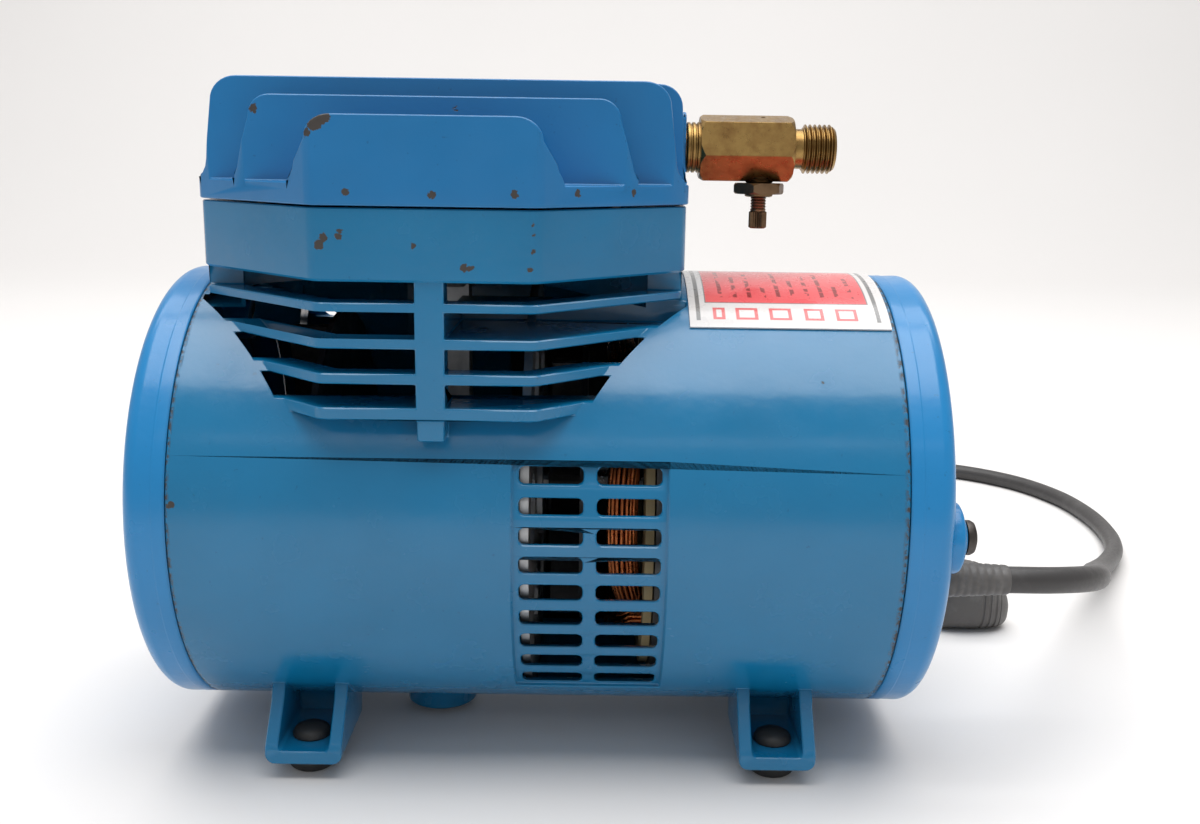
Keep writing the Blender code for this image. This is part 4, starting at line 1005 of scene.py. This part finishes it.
def label_material():
    """White film with a grey double rule, a red panel and plain bars."""
    g = Graph("label_film", (0.80, 0.79, 0.77), 0.0, 0.28)
    g.set("Coat Weight", 0.4)
    g.set("Coat Roughness", 0.1)
    x = g.math('MULTIPLY', g.axis(0), 1000.0)
    turn = g.math('ARCTAN2', g.axis(2), g.axis(1))
    up = g.math('MULTIPLY', g.math('SUBTRACT', math.radians(124.6), turn), 62.3)

    def band(value, low, high, soft=0.08):
        rise = g.ramp(value, low - soft, low + soft)
        fall = g.ramp(value, high - soft, high + soft, 1.0, 0.0)
        return g.math('MULTIPLY', rise, fall)

    def rect(x0, x1, u0, u1):
        return g.math('MULTIPLY', band(x, x0, x1), band(up, u0, u1))

    grey = None
    for x0, x1, u0, u1 in ((66.2, 67.3, 2.6, 41.5), (113.2, 114.3, 2.6, 41.5),
                           (66.2, 114.3, 41.0, 41.9), (68.7, 112.0, 10.5, 39.7)):
        grey = g.cover(grey, rect(x0, x1, u0, u1))
    red = rect(69.0, 111.7, 10.85, 39.4)
    figures = None
    for x0, x1 in ((70.6, 73.8), (76.6, 82.4), (85.4, 91.2), (94.6, 99.6), (102.8, 108.4)):
        part = rect(x0, x1, 3.1, 8.2)
        hole = rect(x0 + 0.9, x1 - 0.9, 4.0, 7.3)
        figures = g.cover(figures, g.math('MULTIPLY', part, g.math('SUBTRACT', 1.0, hole)))
    rows = None
    for k, length in enumerate((22.0, 15.0, 19.0, 9.0, 21.0, 12.0, 17.0, 20.0, 8.0, 16.0)):
        x0 = 72.6 + 3.9 * k
        rows = g.cover(rows, rect(x0, x0 + 1.1, 13.6, 13.6 + length))
    breaks = g.ramp(g.noise(420.0, 1.0, 0.5, (1.0, 1.0, 1.0)), 0.44, 0.47)
    rows = g.math('MULTIPLY', rows, breaks)
    fade = g.ramp(g.noise(60.0, 3.0), 0.3, 0.7, 0.75, 1.0)
    white = g.mix(fade, (0.58, 0.56, 0.55), (0.70, 0.68, 0.67))
    color = g.mix(grey, white, (0.20, 0.20, 0.20))
    color = g.mix(red, color, (0.76, 0.11, 0.12))
    color = g.mix(g.math('MULTIPLY', rows, 0.8), color, (0.16, 0.02, 0.02))
    color = g.mix(g.math('MULTIPLY', figures, 0.9), color, (0.66, 0.05, 0.06))
    return g.finish(color, g.ramp(g.noise(300.0), 0.3, 0.7, 0.24, 0.34),
                    g.bump(g.noise(60.0, 2.0), 0.12, 0.0002))


def build_label():
    band = arc_band(BODY_R + 0.12, BODY_R + GAP + 0.25, 84.0, 124.6, 60)
    plate = prisms("label_film_shape", [(band, 'X', 64.4, 116.6)], (0, 0, 0), label_material())
    smooth(plate, 30.0)
    stand_in(plate, "nameplate", "housing")


# ---------------------------------------------------------------- cord

LEAD_ROUTE = ((152.3, -37.0, -15.8), (162.3, -35.6, -16.3), (171.5, -31.4, -17.5),
              (179.0, -24.8, -19.4), (184.4, -16.4, -21.9), (191.6, 0.0, -27.0),
              (200.2, 22.0, -34.2), (211.8, 50.0, -43.5), (227.2, 83.0, -54.0),
              (243.5, 112.0, -61.0), (258.6, 140.0, -64.8), (267.6, 168.0, GROUND),
              (270.5, 198.0, GROUND), (267.0, 228.0, GROUND), (254.0, 256.0, GROUND),
              (229.0, 277.0, GROUND), (196.0, 284.0, GROUND), (150.0, 270.0, GROUND),
              (100.0, 246.0, GROUND), (45.0, 223.0, GROUND), (6.0, 204.0, GROUND),
              (-13.0, 178.0, GROUND), (-17.1, 150.0, GROUND))
TAIL_ROUTE = ((38.0, 94.7, GROUND), (66.0, 93.0, GROUND), (100.0, 84.0, GROUND),
              (126.0, 73.0, -64.0), (140.0, 69.2, -61.0), (152.7, 68.5, -60.0))

# The coil: turn in degrees after the lead meets it, radius, and height above the ground layer.
COIL_KEYS = ((0, 55.1, 0.0), (55, 47.35, 0.0), (360, 47.35, 0.0), (415, 40.0, 0.0),
             (720, 40.0, 0.0), (775, 32.7, 0.0), (1020, 32.7, 0.0), (1080, 32.0, 3.2),
             (1110, 32.6, 5.8), (1140, 34.4, 7.2), (1185, 36.35, 6.4), (1330, 36.35, 6.4),
             (1375, 40.0, 7.4), (1420, 43.7, 6.4), (1440, 44.2, 6.7), (1462, 46.2, 7.6),
             (1485, 48.7, 7.4), (1508, 52.7, 5.2), (1530, 55.3, 0.0))


def between(keys, at, column):
    """Smooth value between keys that never overshoots them."""
    slopes = [(b[column] - a[column]) / (b[0] - a[0]) for a, b in zip(keys, keys[1:])]
    ends = [0.0] + [2 * p * q / (p + q) if p * q > 0 else 0.0
                    for p, q in zip(slopes, slopes[1:])] + [0.0]
    k = max(i for i in range(len(keys) - 1) if keys[i][0] <= at or i == 0)
    a, b = keys[k], keys[k + 1]
    wide = b[0] - a[0]
    t = (at - a[0]) / wide
    return ((2 * t ** 3 - 3 * t * t + 1) * a[column] + (t ** 3 - 2 * t * t + t) * wide * ends[k]
            + (3 * t * t - 2 * t ** 3) * b[column] + (t ** 3 - t * t) * wide * ends[k + 1])


def coil_turns():
    points = []
    for step in range(1, 102):
        at = 15.0 * step
        turn = math.radians(180.0 + at)
        radius, lift = between(COIL_KEYS, at, 1), between(COIL_KEYS, at, 2)
        points.append((COIL_AT[0] + radius * math.cos(turn), COIL_AT[1] + radius * math.sin(turn),
                       GROUND + lift))
    return points


def build_relief():
    """Moulded strain relief: a collar on the cap, then a slim taper with shallow rings."""
    profile = [(123.6, 3.7), (123.6, 4.5), (130.35, 4.5), (130.35, 5.6), (130.7, 5.9),
               (132.0, 5.9), (132.6, 5.2), (133.4, 4.95)]
    for k in range(8):
        x, r = 134.0 + 2.1 * k, 4.9 - 0.11 * k
        profile += [(x, r), (x + 0.35, r - 0.16), (x + 0.75, r - 0.16), (x + 1.1, r - 0.05)]
    profile += [(150.9, 4.0), (151.4, 3.8), (151.4, 3.7)]
    relief = turned("strain_relief_shape", profile, 'X', CORD_EXIT, plug_skin, 40, ring=True)
    return stand_in(relief, "cord_strain_relief", "housing")


def plug_section(wide, tall, count):
    ring = []
    for k in range(count):
        t = 2.0 * math.pi * k / count
        c, s = math.cos(t), math.sin(t)
        ring.append((wide * math.copysign(abs(c) ** 0.75, c),
                     tall * math.copysign(abs(s) ** 0.75, s)))
    return ring


PLUG_KEYS = ((153.4, 4.3, 4.3, -60.0), (158.0, 6.0, 6.2, -60.0), (163.0, 9.3, 9.6, -60.2),
             (168.0, 11.6, 11.4, -58.6), (174.0, 12.0, 11.6, -58.4),
             (179.0, 11.6, 11.2, -58.8), (183.0, 10.2, 9.9, -60.0),
             (186.5, 7.6, 7.6, -61.8), (188.6, 5.0, 5.2, -62.8), (189.7, 2.4, 2.6, -63.0))


def build_plug():
    count, verts, rows = 56, [], 0
    x = PLUG_KEYS[0][0]
    while x <= PLUG_KEYS[-1][0]:
        wide, tall, z = (between(PLUG_KEYS, x, c) for c in (1, 2, 3))
        groove = 0.0
        if 154.5 < x < 162.0:
            groove = 0.45 if (x - 154.5) % 2.0 > 1.1 else 0.0
        if 176.0 < x < 185.0:
            groove = 0.35 if (x - 176.0) % 2.4 > 1.4 else 0.0
        verts += [(x, 68.5 + a, z + b) for a, b in plug_section(wide - groove, tall - groove,
                                                                count)]
        rows += 1
        x += 0.305
    body = solid("plug_shape", verts, loft_faces(count, rows), (172.0, 68.5, -58.2), plug_skin)
    smooth(body, 50.0)
    stand_in(body, "plug_body", "housing")
    pieces = [body]
    for k, z in enumerate((-64.4, -52.0)):
        tip = rounded([(169.9, 80.0), (176.1, 80.0), (176.1, 96.4), (174.9, 97.5),
                       (171.1, 97.5), (169.9, 96.4)], 0.7, 4)
        blade = prisms("blade_shape_%d" % (k + 1), [(tip, 'Z', z - 0.75, z + 0.75)],
                       (173.0, 88.0, z))
        cut(blade, prisms("blade_eye_%d" % (k + 1), [(circle(1.6, 24, 173.0, 93.2), 'Z', z - 2,
                                                      z + 2)]))
        blade.data.materials.append(brass)
        bake_shape(blade, 0.18, 1)
        pieces.append(stand_in(blade, "plug_blade_%d" % (k + 1), "housing"))
    return pieces


def build_tie():
    """Strap round the coil's turns with its end folded over."""
    def wrap(offset, floor):
        ring = []
        for r, z in ((32.7, 0.0), (47.35, 0.0), (36.35, 6.4)):
            ring += circle(CORD_R + offset, 36, r, z)
        hull = [ring[i] for i in convex_hull_2d(ring)]
        return [(r, GROUND + max(z, floor - CORD_R)) for r, z in hull]

    band = prisms("coil_tie", [(wrap(0.95, 0.0), 'X', -4.5, 4.5)])
    cut(band, prisms("coil_tie_way", [(wrap(0.15, 0.5), 'X', -6.0, 6.0)]))
    join(band, prisms("coil_tie_end", [(rounded([(50.6, -68.8), (52.9, -68.6), (53.0, -62.4),
                                                 (51.6, -61.6), (50.6, -63.0)], 0.6, 3), 'X',
                                        -3.6, 3.6)]))
    band.data.materials.append(foot_rubber)
    bake_shape(band, 0.2, 1)
    band.data.transform(Matrix.Translation((0.0, 0.0, -AXIS_Z * MM)) @
                        Matrix.Translation(band.location - to_world((0, 0, -AXIS_Z))))
    band.location = to_world((*COIL_AT, 0.0))
    band.rotation_euler = (0.0, 0.0, math.radians(45.0 - 90.0))
    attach(band, "housing")
    return band


def build_cord():
    relief = build_relief()
    plug = build_plug()
    tie = build_tie()
    route = [(131.0, *CORD_EXIT), (141.0, *CORD_EXIT), *LEAD_ROUTE, *coil_turns(),
             *TAIL_ROUTE, (156.5, 68.4, -60.0)]
    line = [to_world(p) for p in smooth_route(route, 4.0)]
    lead = wires("mains_cord", [line], CORD_R, 7, cord_skin)
    stand_in(lead, ("cord_lead", "cord_coil", "cord_tail"), "housing")


# ---------------------------------------------------------------- plain pieces

def build_intake():
    ring = turned("intake_ring_shape", [(-63.5, 4.6), (-63.5, 6.5), (-63.35, 6.85), (-63.1, 7.0),
                                        (-61.8, 7.0), (-61.8, 4.6)], 'X', (0, PORT_Z), steel, 56,
                  ring=True)
    stand_in(ring, "intake_ring", "housing")
    felt = turned("intake_filter_shape", [(-61.4, 0), (-61.5, 3.0), (-61.3, 6.6), (-61.0, 7.0),
                                          (-58.3, 7.0), (-58.3, 0)], 'X', (0, PORT_Z),
                  filter_felt, 48)
    stand_in(felt, "intake_filter", "housing")


PLAIN = {"valve_plate": alloy, "diaphragm_lower_plate": alloy, "diaphragm_upper_plate": alloy,
         "connecting_rod": alloy, "centre_bearing_bracket": alloy, "intake_reed": steel,
         "exhaust_reed": steel, "intake_reed_screw": steel, "exhaust_reed_screw": steel,
         "diaphragm_screw": steel, "rod_bearing": steel, "crank_eccentric": steel,
         "rotor_shaft": steel, "main_bearing_left": steel, "main_bearing_right": steel,
         "eccentric_set_screw": black_steel, "stator_core": core_steel, "rotor_core": core_steel,
         "cooling_fan_left": fan_plastic, "cooling_fan_right": fan_plastic,
         "head_gasket": gasket_fibre, "diaphragm": diaphragm_rubber}


def dress_plain_nodes():
    for name, material in PLAIN.items():
        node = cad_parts[name]
        node.data.materials.clear()
        node.data.materials.append(material)
        smooth(node, 30.0)


# ---------------------------------------------------------------- studio

def sweep_material():
    g = Graph("studio_paper", (0.80, 0.785, 0.775), 0.0, 0.9)
    shade = g.ramp(g.noise(1.3, 2.0), 0.3, 0.7)
    return g.finish(g.mix(shade, (0.79, 0.775, 0.765), (0.81, 0.795, 0.785)), None,
                    g.bump(g.noise(180.0, 2.0), 0.05, 0.0004))


def build_sweep():
    """Seamless paper: a floor that curves up into the background."""
    profile = [(-2.5, 0.0), (1.3, 0.0)]
    profile += [(1.3 + 0.9 * math.sin(t), 0.9 - 0.9 * math.cos(t))
                for t in [math.pi / 2 * k / 24 for k in range(1, 25)]]
    profile += [(2.2, 4.0)]
    verts = [(x, y, z) for x in (-4.0, 4.0) for y, z in profile]
    count = len(profile)
    faces = [(i, i + 1, count + i + 1, count + i) for i in range(count - 1)]
    mesh = bpy.data.meshes.new("studio_sweep")
    mesh.from_pydata(verts, [], faces)
    mesh.materials.append(sweep_material())
    mesh.shade_smooth()
    return add_object("studio_sweep", mesh)


def area_light(name, centre, target, size, radiance):
    data = bpy.data.lights.new(name, 'AREA')
    data.shape = 'RECTANGLE'
    data.size, data.size_y = size
    data.energy = math.pi * size[0] * size[1] * radiance
    light = add_object(name, data)
    light.location = centre
    light.rotation_euler = (Vector(centre) - Vector(target)).to_track_quat('Z', 'Y').to_euler()
    return light


def build_studio():
    world = bpy.data.worlds.new("studio_world")
    world.use_nodes = True
    back = world.node_tree.nodes["Background"]
    back.inputs["Color"].default_value = (1.0, 0.985, 0.975, 1.0)
    back.inputs["Strength"].default_value = 0.44
    bpy.context.scene.world = world
    top = area_light("overhead_softbox", (0.01, -0.215, 1.30), (0.01, -0.215, 0.0),
                     (1.30, 0.97), 4.3)
    strip = area_light("front_strip", (0.10, -1.05, 0.80), (0.01, 0.0, 0.08), (1.2, 0.10), 1.0)
    fill = area_light("back_fill", (0.0, 0.9, 1.9), (0.0, 1.6, 0.4), (3.4, 0.8), 3.4)
    sweep = build_sweep()
    bpy.context.scene.view_settings.view_transform = 'Standard'


# ---------------------------------------------------------------- all together

build_cord()
build_housing()
build_head()
build_caps()
build_screws()
build_outlet()
build_bleed()
build_windings()
build_slot_paper()
build_shade_sheet()
build_label()
build_intake()
dress_plain_nodes()
build_studio()
